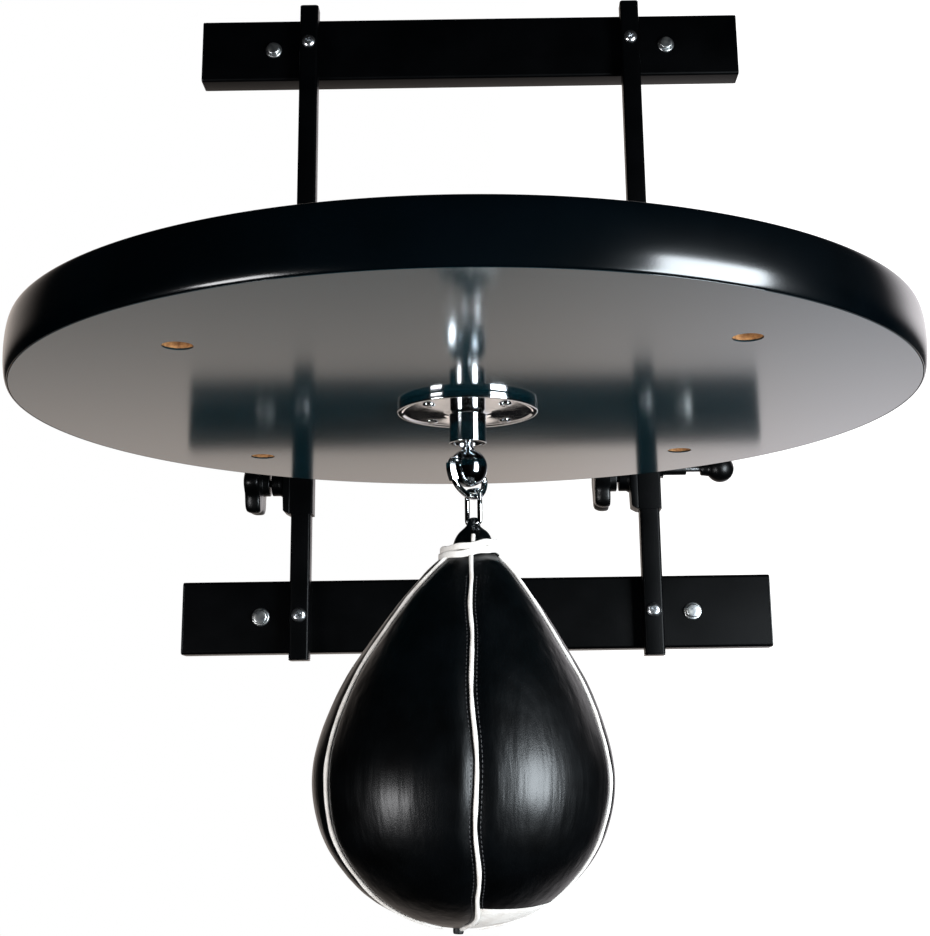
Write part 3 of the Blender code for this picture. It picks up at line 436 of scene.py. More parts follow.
def make_lag_bolt(name):
    """Hex lag bolt: domed head with a washer flange, and a threaded shank with a point."""
    place = middle(name)
    place.y = -size_of("upper_wall_bar").y
    corner, flange, shank = 0.0066, 0.0087, 0.004
    plain, end = 0.026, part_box(name)[1].y - place.y
    pitch, thread_depth, rows = 0.0034, 0.0011, 50
    outline = filleted([(0, -0.0065), (corner * 0.7, -0.0063, 0.001), (corner * 0.93, -0.006, 0.0006),
                        (corner, -0.0052), (corner, -0.002), (corner, -0.0018), (0.0078, -0.0016, 0.0003),
                        (flange, -0.0007, 0.0004), (flange, 0), (shank, 0), (shank, plain)])
    for step in range(1, rows):
        t = step / rows
        core = shank * (1 if t < 0.75 else 1 - (t - 0.75) * 3.2)
        outline.append((core, plain + (end - plain) * t))
    outline.append((0, end))

    def warp(radius, angle, height):
        if height < plain:
            return hexagon(corner)(radius, angle, height)
        phase = (height / pitch + angle / TURN) % 1
        groove = thread_depth * min(1, abs(phase - 0.5) * 3.4) * min(1, (height - plain) / 0.002)
        return max(radius - groove, 0.0004)
    piece(f"{name}_zinc", lathe(outline, 48, warp), ZINC, "wall_frame", [name],
          facing((0, 1, 0), place), sharp=28)


def make_cross_screw(name, head, height, shank, end, finish, body, at, direction, turned_by):
    """A pan head screw with a cross recess."""
    profile = filleted([(0, -height), (head * 0.62, -height * 0.94, head * 0.2),
                        (head * 0.97, -height * 0.42, head * 0.12), (head, 0, 0.0001),
                        (shank, 0.0001), (shank, end), (0, end)], 6)
    made = piece(f"{name}_cross", lathe(profile, 48), finish, body, [name], facing(direction, at), sharp=32)
    wide, thin, deep = head * 0.56, head * 0.1, height * 0.62
    mouth = [(-wide, -thin), (wide, -thin), (wide, thin), (-wide, thin)]
    foot = [(x * 0.45, y * 0.8) for x, y in mouth]
    vertices = [(x, y, -height - 0.001) for x, y in mouth] + [(x, y, -height + deep) for x, y in foot]
    faces = [[0, 1, 2, 3], [4, 5, 6, 7]] + [[i, (i + 1) % 4, 4 + (i + 1) % 4, 4 + i] for i in range(4)]
    arms = []
    for quarter in range(2):
        spin = Matrix.Rotation(pi / 2 * quarter + turned_by, 4, "Z")
        arms.append(moved((vertices, faces), facing(direction, at) @ spin))
    carve(made, *arms, sharp=30)


def make_wall_bar(bar):
    """One wall bar with its end caps, its lag bolts and the screws that hold the posts to it."""
    name = f"{bar}_wall_bar"
    low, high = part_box(name)
    centre, size = middle(name), size_of(name)
    wall, corner = 0.002, 0.003
    shape = moved(hollow_bar(*size, wall, corner), facing((1, 0, 0), centre))
    piece(f"{bar}_bar_tube", shape, POWDER, "wall_frame", [name])
    for side_name, side in SIDES:
        cap = f"{bar}_bar_{side_name}_cap"
        start, end = (high.x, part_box(cap)[1].x) if side > 0 else (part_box(cap)[0].x, low.x)
        shape = end_plug((start, centre.y, centre.z), (end, centre.y, centre.z), size.z, size.y, corner)
        piece(f"{bar}_{side_name}_end_cap", shape, PLASTIC, "wall_frame", [cap])
        make_lag_bolt(f"{bar}_{side_name}_lag_bolt")
        screw = f"{bar}_{side_name}_post_screw"
        place = middle(screw)
        place.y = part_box(f"{side_name}_post")[0].y - 0.0003
        make_cross_screw(screw, 0.007, 0.0036, 0.003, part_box(screw)[1].y - place.y, CHROME_WORN,
                         "wall_frame", place, (0, 1, 0), 0.4 * side + (0.7 if bar == "upper" else 0.1))


def make_post(side_name, side):
    """One post with its two plugs; the right one has the row of holes for the pull pin."""
    name = f"{side_name}_post"
    low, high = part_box(name)
    centre, size = middle(name), size_of(name)
    x, y = centre.xy
    wall, corner, hole, pitch = 0.0016, 0.0026, 0.0035, 0.0508
    shape = moved(hollow_bar(size.z, size.x, size.y, wall, corner), Matrix.Translation(centre))
    post = piece(f"{name}_tube", shape, POWDER, "wall_frame", [name])
    if side > 0:
        carve(post, *[rod((high.x - 0.003, y, PIN_PLACE.z + step * pitch), (1, 0, 0), hole, 0.006)
                      for step in range(-1, 6)])
    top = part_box(f"{name}_top_cap")[1].z
    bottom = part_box(f"{name}_bottom_cap")[0].z
    for end, start, stop in (("top", high.z + 0.0001, top), ("bottom", bottom, low.z - 0.0001)):
        shape = end_plug((x, y, start), (x, y, stop), size.x, size.y, corner)
        piece(f"{name}_{end}_plug", shape, PLASTIC, "wall_frame", [f"{name}_{end}_cap"])


# ---- carriage

def make_sleeve(side_name):
    """Square sleeve with its nut block and the clamp's boss, edges rounded as on a casting."""
    name = f"{side_name}_sleeve"
    low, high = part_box(name)
    post = middle(f"{side_name}_post")
    outer = high.x - post.x
    shape = hollow_bar(high.z - low.z, 2 * outer, 2 * outer, 0.0017, 0.002)
    made = piece(f"{name}_tube", shape, POWDER, "carriage", [name],
                 Matrix.Translation((post.x, post.y, (low.z + high.z) / 2)))
    left, top = post.x - outer - 0.008, DRUM.z + 0.062
    chamfer = 0.006
    nut_block = block((left, post.y - outer, low.z), (post.x - outer + 0.0012, post.y + outer, top), 0.0012)
    for corner in nut_block[0]:
        across, above = corner.x - left, corner.z - low.z
        if max(across, above) <= chamfer + 0.0001:
            cut = max(0, chamfer - across - above) / 2
            corner += Vector((cut, 0, cut))
    outline = filleted([(0, 0), (0.0138, 0, 0.0008), (0.0123, 0.0022, 0.001), (0.0123, 0.01, 0.001),
                        (0.005, 0.01), (0.0046, 0.0092), (0, 0.0092)])
    clamp_z = middle(f"{side_name}_clamp_pad").z
    boss = moved(lathe(outline, 64), facing((-1, 0, 0), (left + 0.001, post.y, clamp_z)))
    carve(made, nut_block, boss, keep="UNION", sharp=32)


def make_arm(side_name):
    """A drum arm with its end cap, and the brace above it with the weld where it meets the sleeve."""
    name, brace = f"{side_name}_arm", f"{side_name}_brace"
    low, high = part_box(name)
    size = size_of(name)
    shape = hollow_bar(size.y, size.x, size.z, 0.002, 0.003)
    piece(f"{name}_tube", shape, POWDER, "carriage", [name], facing((0, 1, 0), middle(name)))
    cap_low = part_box(f"{name}_cap")[0]
    shape = block((low.x, cap_low.y, low.z), (high.x, low.y - 0.0001, high.z), 0.0008)
    piece(f"{name}_end_cap", shape, PLASTIC, "carriage", [f"{name}_cap"])
    work = bmesh.new()
    work.from_mesh(NODES[brace].data)
    bmesh.ops.remove_doubles(work, verts=work.verts, dist=1e-6)
    bmesh.ops.dissolve_limit(work, angle_limit=0.01, verts=work.verts, edges=work.edges)
    bmesh.ops.bevel(work, geom=work.edges[:], offset=0.0009, segments=3, profile=0.5, affect="EDGES")
    piece(f"{brace}_bar", taken(work), POWDER, "carriage", [brace])
    weld_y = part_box(brace)[1].y - 0.0002
    outline = ((-0.0032, 0.118), (-0.0034, 0.13), (-0.0032, 0.142), (-0.0032, 0.1535), (0.0, 0.1545),
               (0.0032, 0.1535), (0.0034, 0.142), (0.0032, 0.13), (0.0032, 0.118))
    bead = [(middle(name).x + x, weld_y, DRUM.z + height) for x, height in outline]
    piece(f"{brace}_weld", swept(bead, disc(0.0012, 10), False, up=(0, 1, 0)), POWDER, "carriage")


def make_drum():
    """Rim, underside and board, with a counterbore for each of the bolts that hold the drum to the arms."""
    inside = size_of("drum_laminate").x / 2
    place = Matrix.Translation(DRUM)
    lip, gap, fullness, rows, segments = 0.0006, 0.0003, 2.05, 40, 288
    wall = []
    for step in range(rows + 1):
        height = -cos(pi * step / rows)
        bow = (DRUM_RADIUS - inside - lip) * (1 - abs(height) ** fullness) ** (1 / fullness)
        wall.append((inside + lip + bow, THICK / 2 * (1 + height)))
    profile = [(inside + gap, 2 * lip), (inside + gap, lip), *wall,
               (inside + gap, THICK - lip), (inside + gap, THICK - 2 * lip)]
    piece("drum_rim", lathe(profile, segments), EDGE, "carriage", ["drum_edge_band"], place, sharp=50)

    counterbores = [middle(f"drum_bolt_{name}") for name in CORNERS]
    bore, below = 0.00925, 0.002

    def bores(depth):
        return [rod((p.x, p.y, DRUM.z - below), (0, 0, 1), bore, below + depth, 64) for p in counterbores]
    skin = filleted([(0, 0), (inside, 0, 0.0003), (inside, 0.001, 0.0002), (0, 0.001)], 2)
    laminate = piece("drum_underside", lathe(skin, segments), LAMINATE, "carriage", ["drum_laminate"], place)
    carve(laminate, *bores(0.004), sharp=5)
    core = filleted([(0, 2 * lip), (inside, 2 * lip), (inside, THICK, 0.0004), (0, THICK)], 2)
    board = piece("drum_core", lathe(core, segments), WOOD, "carriage", ["drum_board"], place,
                  finishes=[LAMINATE])
    carve(board, *bores(0.02), sharp=6)
    for face in board.data.polygons:
        face.material_index = int(face.center.z > DRUM.z + THICK - 0.0006)

    seat = DRUM.z + 0.02 - gap
    arm_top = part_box("left_arm")[1].z - seat
    for name, p in zip(CORNERS, counterbores):
        turn = Matrix.Rotation(p.x * 9, 4, "Z")
        make_drum_bolt(name, arm_top, Matrix.Translation((p.x, p.y, seat)) @ turn)


def make_drum_bolt(name, arm_top, at):
    """Hex bolt up through the board and the arm, with a washer and a nut on the arm's top."""
    corner, shank, nut_low, nut_high = 0.0075, 0.004, arm_top + 0.0018, arm_top + 0.0078
    bolt = filleted([(0, -0.0055), (corner * 0.86, -0.0055, 0.0006), (corner, -0.0046), (corner, 0),
                     (shank, 0), (shank, nut_high + 0.0007), (0.0034, nut_high + 0.0014),
                     (0, nut_high + 0.0014)])
    nut = filleted([(shank, nut_low), (0.0066, nut_low, 0.0004), (corner, nut_low + 0.0007),
                    (corner, nut_high - 0.0008), (0.0066, nut_high, 0.0004), (shank, nut_high)])
    washer = filleted([(0.0043, arm_top + 0.0002), (0.0088, arm_top + 0.0002, 0.0003),
                       (0.0088, arm_top + 0.0016, 0.0003), (0.0043, arm_top + 0.0016)])
    shape = joined(lathe(bolt, 48, hexagon(corner)), lathe(nut, 48, hexagon(corner)), lathe(washer, 48))
    piece(f"drum_hex_bolt_{name}", shape, ZINC, "carriage", [f"drum_bolt_{name}"], at, sharp=28)


def make_clamp(side_name, side):
    """Six-lobed clamp knob and its threaded stud."""
    knob, stud = f"{side_name}_clamp_knob", f"{side_name}_clamp_stud"
    place = middle(f"{side_name}_clamp_pad")

    def at(node):
        return facing((-1, 0, 0), (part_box(node)[1].x, place.y, place.z))
    length, hub, rim, lobe = size_of(knob).x, 0.0145, 0.03, 0.003
    phase = pi / 6 if side < 0 else 0.0

    def lobes(radius, angle, height):
        share = min(1, max(0, radius - hub) / 0.0125)
        return radius + share * lobe * cos(6 * angle + phase)
    outline = filleted([(0, 0.0072), (0.0046, 0.0072), (0.0046, 0), (0.0125, 0, 0.001),
                        (0.0125, 0.0072, 0.0014), (0.0296, 0.0074, 0.003), (rim, 0.012),
                        (rim, 0.018, 0.004), (0.0262, length, 0.003), (0.015, length - 0.0016, 0.002),
                        (0.0118, length - 0.0006, 0.0008), (0, length - 0.0006)], 5)
    piece(f"{side_name}_lobed_knob", lathe(outline, 144, lobes), PLASTIC, knob, [knob], at(knob), sharp=40)
    length, crest, end, pitch = size_of(stud).x, 0.004, 0.0034, 0.00125
    rows = int(length / 0.00021)
    shank = [(crest, length * (k + 1) / (rows + 2)) for k in range(rows)]

    def thread(radius, angle, height):
        if radius <= 0.0035:
            return radius
        return radius - 0.0006 * abs(2 * ((height / pitch + angle / TURN) % 1) - 1)
    shape = lathe([(0, 0), (end, 0), *shank, (end, length), (0, length)], 36, thread)
    piece(f"{side_name}_threaded_stud", shape, ZINC, knob, [stud], at(stud), sharp=25)


def make_pull_pin():
    """Spring barrel screwed into the sleeve, the pin through it and the ball to pull it by."""
    def at(node):
        return facing((1, 0, 0), (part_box(node)[0].x, PIN_PLACE.y, PIN_PLACE.z))
    length, bore, corner = size_of("pin_barrel").x, 0.0033, 0.009
    barrel = filleted([(bore, 0), (corner, 0), (corner, 0.003, 0.0005), (0.0062, 0.0036, 0.0005),
                       (0.0058, 0.005), (0.0058, length, 0.001), (bore, length)], 4)
    piece("pin_spring_barrel", lathe(barrel, 60, hexagon(corner)), PLASTIC, "carriage",
          ["pin_barrel", "pin_spring"], at("pin_barrel"), sharp=30)
    length, radius = size_of("pin_plunger").x, 0.003
    pin = filleted([(0, 0), (radius, 0, 0.0009), (radius, length), (0, length)], 4)
    piece("pin_rod", lathe(pin, 40), CHROME_WORN, "pull_pin", ["pin_plunger"], at("pin_plunger"))
    end, ball, neck, rows = size_of("pin_ball_knob").x, 0.0134, radians(146), 14
    profile = [(0, 0.0102), (0.0034, 0.0102), (0.0034, 0), (0.0058, 0), (0.0066, 0.0008), (0.007, 0.005)]
    for step in range(rows):
        angle = neck - neck * step / rows
        profile.append((ball * sin(angle), end - ball + ball * cos(angle)))
    profile.append((0, end))
    piece("pin_ball_grip", lathe(profile, 64), PLASTIC, "pull_pin", ["pin_ball_knob"], at("pin_ball_knob"),
          sharp=50)


# ---- swivel and links

def make_swivel():
    """Slightly conical flange with its hub, the retaining ring in the hub, the stem and the bored ball."""
    place = Matrix.Translation(DRUM)
    flange, hub, bore, depth = 0.048, 0.0125, 0.0098, 0.026
    plate = filleted([(0, -0.0003), (flange, -0.0003, 0.0005), (flange, -0.0049, 0.001),
                      (0.0452, -0.005, 0.0006), (0.0436, -0.0041, 0.0008), (0.016, -0.0056, 0.002),
                      (hub + 0.0002, -0.0066, 0.0006), (hub, -0.011, 0.001), (hub, -depth, 0.0007),
                      (bore, -depth, 0.0003), (bore, -0.009), (0, -0.009)], 6)
    piece("swivel_plate", lathe(plate, 160), CHROME, "carriage", ["swivel_flange"], place, sharp=40)
    for name in CORNERS:
        p = middle(f"flange_screw_{name}")
        make_cross_screw(f"flange_screw_{name}", 0.0044, 0.0021, 0.0024, 0.018, CHROME, "carriage",
                         (p.x, p.y, DRUM.z - 0.0042), (0, 0, 1), p.x * 20)
    low, high, inner, outer = 0.001 - depth, -0.02, 0.0036, 0.0096
    ring = filleted([(inner, low), (outer, low, 0.0004), (outer, high), (inner, high)])
    retainer = piece("swivel_ring", lathe(ring, 96), CHROME, "carriage", ["swivel_retainer"], place)
    spread, holes = 0.0067, []
    for angle in (TURN * (k + 0.5) / 6 for k in range(6)):
        at = (spread * cos(angle), DRUM.y + spread * sin(angle), DRUM.z - depth - 0.001)
        holes.append(rod(at, (0, 0, 1), 0.0014, 0.005))
    carve(retainer, *holes)
    drop, head, stem, foot = BALL.z - DRUM.z, 0.0088, 0.0032, 0.0042
    spindle = filleted([(0, -0.012), (head, -0.012), (head, -0.0162), (stem, -0.0162, 0.0004),
                        (stem, drop + 0.015, 0.0004), (foot, drop + 0.0136, 0.0006), (foot, drop + 0.01),
                        (0, drop + 0.01)], 4)
    piece("swivel_stem", lathe(spindle, 64), CHROME, "swivel_rotor", ["swivel_spindle"], place)
    radius, rows = size_of("swivel_ball").x / 2, 40
    angles = [pi * k / rows for k in range(1, rows)]
    sphere = [(0, radius), *((radius * sin(a), radius * cos(a)) for a in angles), (0, -radius)]
    # The ball gets the darkened chrome: painted dark reflection.
    ball = piece("swivel_ball_smooth", lathe(sphere, 96), CHROME_PAINTED_DARK, "swivel_rotor", ["swivel_ball"],
                 Matrix.Translation(BALL))
    throat, mouth, past = 0.0029, 0.005, 0.016
    hole = filleted([(0, -past), (mouth, -past), (mouth, -0.0128), (throat, -0.0115, 0.0006),
                     (throat, 0.0115, 0.0006), (mouth, 0.0128), (mouth, past), (0, past)], 3)
    carve(ball, moved(lathe(hole, 48), facing(HOLE, BALL)), sharp=45)


def make_links():
    """Screw shackle through the ball, and the oval link that hangs the bag from it."""
    down = Vector((0.13, 0, -0.99))
    down = (down - HOLE * HOLE.dot(down)).normalized()
    straight, corner, drop, wire = 0.0145, 0.0045, 0.0152, 0.0022
    bends = [pi / 2 * step / 6 for step in range(1, 6)]
    turns = [(straight + corner * sin(a), corner * (1 - cos(a))) for a in bends]
    bow = [pi * step / 32 for step in range(33)]
    outline = [(straight * (-1 + 2 * step / 7), 0.0) for step in range(8)] + turns
    outline += [((straight + corner) * cos(a), corner + drop * sin(a)) for a in bow]
    outline += [(-u, v) for u, v in reversed(turns)]
    path = [BALL + HOLE * u + down * v for u, v in outline]
    sleeve = swept(path[13:21], disc(0.0036, 6), False, up=HOLE.cross(down))
    piece("ball_shackle", joined(swept(path, disc(wire, 16)), sleeve), CHROME, "ball_link", ["ball_link"],
          sharp=30)

    low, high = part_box("lower_link")
    wire, half, corner = 0.0017, 0.0053, 0.0026
    top, bottom = high.z - wire, low.z + wire
    centre = Vector((PIVOT.x, PIVOT.y, (top + bottom) / 2))
    outline = rounded_outline(2 * half, top - bottom, corner)
    ring = [centre + ACROSS * x + Vector((0, 0, z)) for x, z in outline]
    piece("hanger_link", swept(ring, disc(wire, 16)), CHROME, "lower_link", ["lower_link"])


# ---- bag

BAG = Matrix.Translation(PIVOT) @ Matrix.Rotation(radians(2.8), 4, "Y")
PANELS = 5
FIRST_SEAM = radians(-88.5)
SEAM_TURNS = (0, 71, 144, 217, 293)  # degrees round from the front seam, cut slightly unequal
# Degrees that a seam turns round the bag between two shares of its length: all seams, then the front one.
SEAM_DRIFTS = ((3, 0.25, 0.6), (3, 0.65, 0.92))
FRONT_SEAM_DRIFTS = ((2, 0.02, 0.1), (2, 0.15, 0.25), (3.8, 0.62, 0.78), (4, 0.78, 0.89), (-5, 0.9, 0.97))
OUTLINE = (  # radius and depth below the pivot
    (0.0160, 0.0185), (0.0184, 0.0228), (0.0238, 0.0280), (0.0316, 0.0360), (0.0470, 0.0540),
    (0.0640, 0.0790), (0.0790, 0.1030), (0.0895, 0.1270), (0.0962, 0.1500), (0.0978, 0.1680),
    (0.0953, 0.1860), (0.0890, 0.2040), (0.0780, 0.2205), (0.0610, 0.2370), (0.0410, 0.2480),
    (0.0200, 0.2540), (0.0060, 0.2560),
)


def spline(points, steps):
    """Points on a smooth curve through the given ones."""
    result = []
    for i in range(len(points) - 1):
        a, b, c, d = (Vector(points[min(max(k, 0), len(points) - 1)]) for k in (i - 1, i, i + 1, i + 2))
        for step in range(steps):
            t = step / steps
            result.append(b + (c - a) * (t / 2) + (a * 2 - b * 5 + c * 4 - d) * (t * t / 2)
                          + (b * 3 - a - c * 3 + d) * (t ** 3 / 2))
    result.append(Vector(points[-1]))
    return result


CURVE = spline(OUTLINE, 9)
LENGTHS = [0.0]
for before, after in zip(CURVE, CURVE[1:]):
    LENGTHS.append(LENGTHS[-1] + (after - before).length)


def on_curve(along):
    """Radius and depth at a share, 0 to 1, of the outline's length."""
    reach = along * LENGTHS[-1]
    for i in range(1, len(LENGTHS)):
        if LENGTHS[i] >= reach - 1e-12:
            t = (reach - LENGTHS[i - 1]) / max(LENGTHS[i] - LENGTHS[i - 1], 1e-12)
            return CURVE[i - 1].lerp(CURVE[i], t)
    return CURVE[-1]


def ramp(x, low, high):
    t = min(1, max(0, (x - low) / (high - low)))
    return t * t * (3 - 2 * t)


def seam_angle(seam, along):
    """Angle of a seam round the bag's axis, with the small wander of hand sewing."""
    wander = 0.35 * sin(13 * along + seam * 1.9) + 0.3 * sin(29 * along + seam * 4.1)
    drift = sum(turn * ramp(along, low, high) for turn, low, high in SEAM_DRIFTS)
    if seam == 0:
        drift += sum(turn * ramp(along, low, high) for turn, low, high in FRONT_SEAM_DRIFTS) - 3
    elif seam == PANELS - 1:
        drift += 16 * (1 - ramp(along, 0.0, 0.15))
    return FIRST_SEAM + radians(SEAM_TURNS[seam] + wander + drift)


@functools.cache
def seams_at(along):
    return [seam_angle(seam, along) for seam in range(PANELS)]


def bag_point(angle, along, lift=0.0):
    """A point on the leather, sunk along the seams and full in the middle of each panel."""
    radius, depth = on_curve(along)
    x, y = cos(angle), sin(angle)
    nearest = min(abs((angle - seam + pi) % TURN - pi) for seam in seams_at(along))
    share = nearest / (pi / PANELS)
    groove = 0.0024 * exp(-(nearest * radius / 0.0062) ** 2)
    fade = ramp(along, 0.02, 0.16) * (1 - ramp(along, 0.9, 1.0))
    sunk = fade * (groove + radius * 0.012 * (1 - share) ** 2)
    # The leather puffs out between the seams just below the collar, most of all right of the front seam.
    full = 0.0016 * ramp(along, 0.0, 0.03) * (1 - ramp(along, 0.05, 0.13)) * sin(share * pi / 2)
    off = (angle - seam_angle(0, along) - radians(30) + pi) % TURN - pi
    full += 0.0024 * exp(-(off / 0.3) ** 2 - ((along - 0.04) / 0.018) ** 2)
    crease = 0.00016 * noise.noise(Vector((x * radius * 260, y * radius * 260, depth * 16)))
    r = radius - sunk + full + crease * ramp(radius, 0.03, 0.06) + lift
    return BAG @ Vector((r * x, r * y, -depth))


def make_shell():
    """The leather: rings of points from the neck to the tip, closed with a fan at each end."""
    around, down = 300, 130
    vertices = [bag_point(TURN * i / around, k / down) for k in range(down + 1) for i in range(around)]
    faces = quads(down + 1, around)
    for ring in (0, down):
        centre = len(vertices)
        vertices.append(BAG @ Vector((0, 0, -on_curve(ring / down).y)))
        faces += [[ring * around + i, ring * around + (i + 1) % around, centre] for i in range(around)]
    shell = piece("bag_leather", (vertices, faces), LEATHER, "bag", ["bag_shell"], sharp=70)


def make_piping():
    """A white cord along every seam, its thickness slightly uneven."""
    steps, first, reach = 150, 0.012, 0.975
    shares = [first + reach * k / steps for k in range(steps + 1)]
    cords = []
    for seam in range(PANELS):
        def uneven(t, phase=seam * 2):
            return 1 + 0.1 * sin(46 * t + phase) + 0.06 * sin(97 * t)
        path = [bag_point(seam_angle(seam, along), along, 0.0014) for along in shares]
        cords.append(swept(path, disc(0.0013, 10), False, scale_at=uneven))
    piece("bag_piping", joined(*cords), WHITE_LEATHER, "bag", sharp=60)


def make_stitches():
    """A row of stitches on each side of every seam."""
    aside, lift, thickness = 0.0034, 0.00012, 0.00034
    stitches = []
    for seam in range(PANELS):
        for side in (-1, 1):
            for k in range(6, 96):
                ends = []
                for along in (0.03 + 0.93 * (k + part) / 100 for part in (0.18, 0.82)):
                    turn = side * aside / max(on_curve(along).x, 0.01)
                    ends.append(bag_point(seam_angle(seam, along) + turn, along, lift))
                path = [ends[0].lerp(ends[1], t / 4) for t in range(5)]
                stitches.append(swept(path, disc(thickness, 6), False,
                                      scale_at=lambda t: 0.35 + 0.65 * sin(pi * (0.1 + 0.8 * t))))
    piece("bag_stitches", joined(*stitches), THREAD, "bag", sharp=60)


def make_valve():
    """The bladder's filling stem, which sticks out of the bag's tip."""
    low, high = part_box("bag_bladder")
    tip = (BAG.inverted() @ Vector(((low.x + high.x) / 2, (low.y + high.y) / 2, low.z))).z
    stem, top = 0.0034, -0.244
    outline = filleted([(0, top), (stem, top), (stem, tip + 0.0012, 0.0006), (0.003, tip, 0.0005),
                        (0.0012, tip, 0.0002), (0.0011, tip + 0.0035), (0, tip + 0.0035)], 4)
    piece("bag_valve", lathe(outline, 40), RUBBER, "bag", ["bag_bladder"], BAG)


def make_collar():
    """Two bands of white leather bound round the neck, wavy as tied, and the tied end above them."""
    shapes = []
    for band, (radius, height, depth) in enumerate(((0.0184, 0.0046, 0.0166), (0.0198, 0.0048, 0.0212))):
        path = []
        for angle in (TURN * i / 120 for i in range(120)):
            wave = (0.0009 * sin(angle * 2 + 0.4) + 0.0006 * sin(angle * 3 + band * 0.6)
                    - 0.0024 * cos(angle) + 0.0004 * sin(7 * angle + band * 2))
            r = radius * (1.02 + 0.04 * sin(3 * angle + band) - 0.1 * cos(angle))
            path.append(BAG @ Vector((r * cos(angle), r * sin(angle), -depth - wave)))
        section = [(y, x) for x, y in rounded_outline(0.0026, height, 0.001, 3)]
        shapes.append(swept(path, section, up=(0, 0, 1)))
    end = seam_angle(0, 0.0) + 0.05
    out = Vector((cos(end), sin(end), 0))
    tip = [BAG @ (out * radius - Vector((0, 0, depth))) for radius, depth in
           ((0.016, 0.021), (0.0163, 0.0175), (0.0163, 0.014), (0.0158, 0.0116), (0.015, 0.0096))]
    shapes.append(swept(tip, disc(0.0017, 12, 0.8), False, up=out))
    piece("bag_neck_bands", joined(*shapes), WHITE_LEATHER, "bag", ["bag_collar"], sharp=60)


def make_hanger():
    """Folded leather strap over the link's bottom wire, spreading into the neck."""
    levels = [  # height above the pivot, half width and half thickness
        (0.0042, 0.0006, 0.0005), (0.0040, 0.0020, 0.0020), (0.0030, 0.0027, 0.0034),
        (0.0010, 0.0030, 0.0046), (-0.0014, 0.0033, 0.0056), (-0.0034, 0.0058, 0.0066),
        (-0.0056, 0.0092, 0.0076), (-0.0090, 0.0117, 0.0090), (-0.0130, 0.0130, 0.0102),
        (-0.0170, 0.0132, 0.0108), (-0.0210, 0.0120, 0.0102), (-0.0280, 0.0108, 0.0090),
    ]
    sides, squareness = 28, 2.8
    upright = BAG.to_3x3()
    vertices = []
    rows = spline(levels, 3)
    for z, wide, thick in rows:
        for angle in (TURN * k / sides for k in range(sides)):
            x, y = cos(angle), sin(angle)
            stretch = (abs(x) ** squareness + abs(y) ** squareness) ** (-1 / squareness)
            fold = 1 - 0.1 * exp(-(x / 0.22) ** 2) * ramp(-z, 0.004, 0.012)
            level = ACROSS * (x * stretch * wide) + TANGENT * (y * stretch * thick * fold)
            vertices.append(PIVOT + level + upright @ Vector((0, 0, z)))
    faces = quads(len(rows), sides)
    faces += [list(range(sides)), list(range((len(rows) - 1) * sides, len(rows) * sides))]
    made = piece("bag_hanger_strap", (vertices, faces), LEATHER, "bag", ["bag_hanger"], sharp=60)
    carve(made, rod(PIVOT - ACROSS * 0.008, ACROSS, 0.0021, 0.016), sharp=45)


def make_patch():
    """White leather patch sewn over the lower end of one panel: an outer and an inner sheet with a rim."""
    rows, columns, lift, bottom = 22, 46, 0.0009, 0.985
    vertices, faces = [], []
    for layer in (lift, -0.0004):
        for r in range(rows + 1):
            for c in range(columns + 1):
                across = c / columns
                top = 0.826 - 0.02 * across + 0.008 * sin(across * pi)
                along = top + (bottom - top) * r / rows
                first, last = seam_angle(0, along), seam_angle(1, along)
                edge = min(r, rows - r, 2) / 2
                thin = lift * (0.4 + 0.6 * edge) if layer > 0 else layer
                vertices.append(bag_point(first + (last - first) * (0.02 + 0.94 * across), along, thin))
    count = (rows + 1) * (columns + 1)
    for r in range(rows):
        for c in range(columns):
            a = r * (columns + 1) + c
            faces.append([a, a + 1, a + columns + 2, a + columns + 1])
            faces.append([count + a, count + a + columns + 1, count + a + columns + 2, count + a + 1])
    rim = ([(0, c) for c in range(columns)] + [(r, columns) for r in range(rows)]
           + [(rows, c) for c in range(columns, 0, -1)] + [(r, 0) for r in range(rows, 0, -1)])
    index = [r * (columns + 1) + c for r, c in rim]
    for a, b in zip(index, index[1:] + index[:1]):
        faces.append([a, b, count + b, count + a])
    piece("bag_base_patch", (vertices, faces), WHITE_LEATHER, "bag", sharp=60)


for bar in ("upper", "lower"):
    make_wall_bar(bar)
for side_name, side in SIDES:
    make_post(side_name, side)
for side_name, side in SIDES:
    make_sleeve(side_name)
    make_arm(side_name)
make_drum()
for side_name, side in SIDES:
    make_clamp(side_name, side)
make_pull_pin()
make_swivel()
make_links()
make_shell()
make_piping()
make_stitches()
make_collar()
make_hanger()
make_patch()
make_valve()


# ---- floor, light and camera

def make_floor():
    radius, thickness = 1.9, 0.02
    shape = lathe([(0, -thickness), (radius, -thickness), (radius, 0), (0, 0)], 128)
    pale = material("pale_floor", (0.82, 0.82, 0.81), 0.7, patches=(0.8, 0.8, 0.8), patch_scale=2)
    floor = added("floor", mesh_of("floor", shape, [pale]))
    floor.location = (0, -0.5, -2.1)
    floor.visible_glossy = False


def soft_light(name, place, target, width, height, power, colour=(1, 1, 1)):
    """A rectangular area light, unseen by the camera, turned from its place to its target."""
    light = bpy.data.lights.new(name, "AREA")
    light.shape = "RECTANGLE"
    light.size, light.size_y = width, height
    light.energy, light.color = power, colour
    made = added(name, light)
    made.location = place
    made.rotation_euler = (Vector(target) - Vector(place)).to_track_quat("-Z", "Y").to_euler()
    made.visible_camera = False
    return made


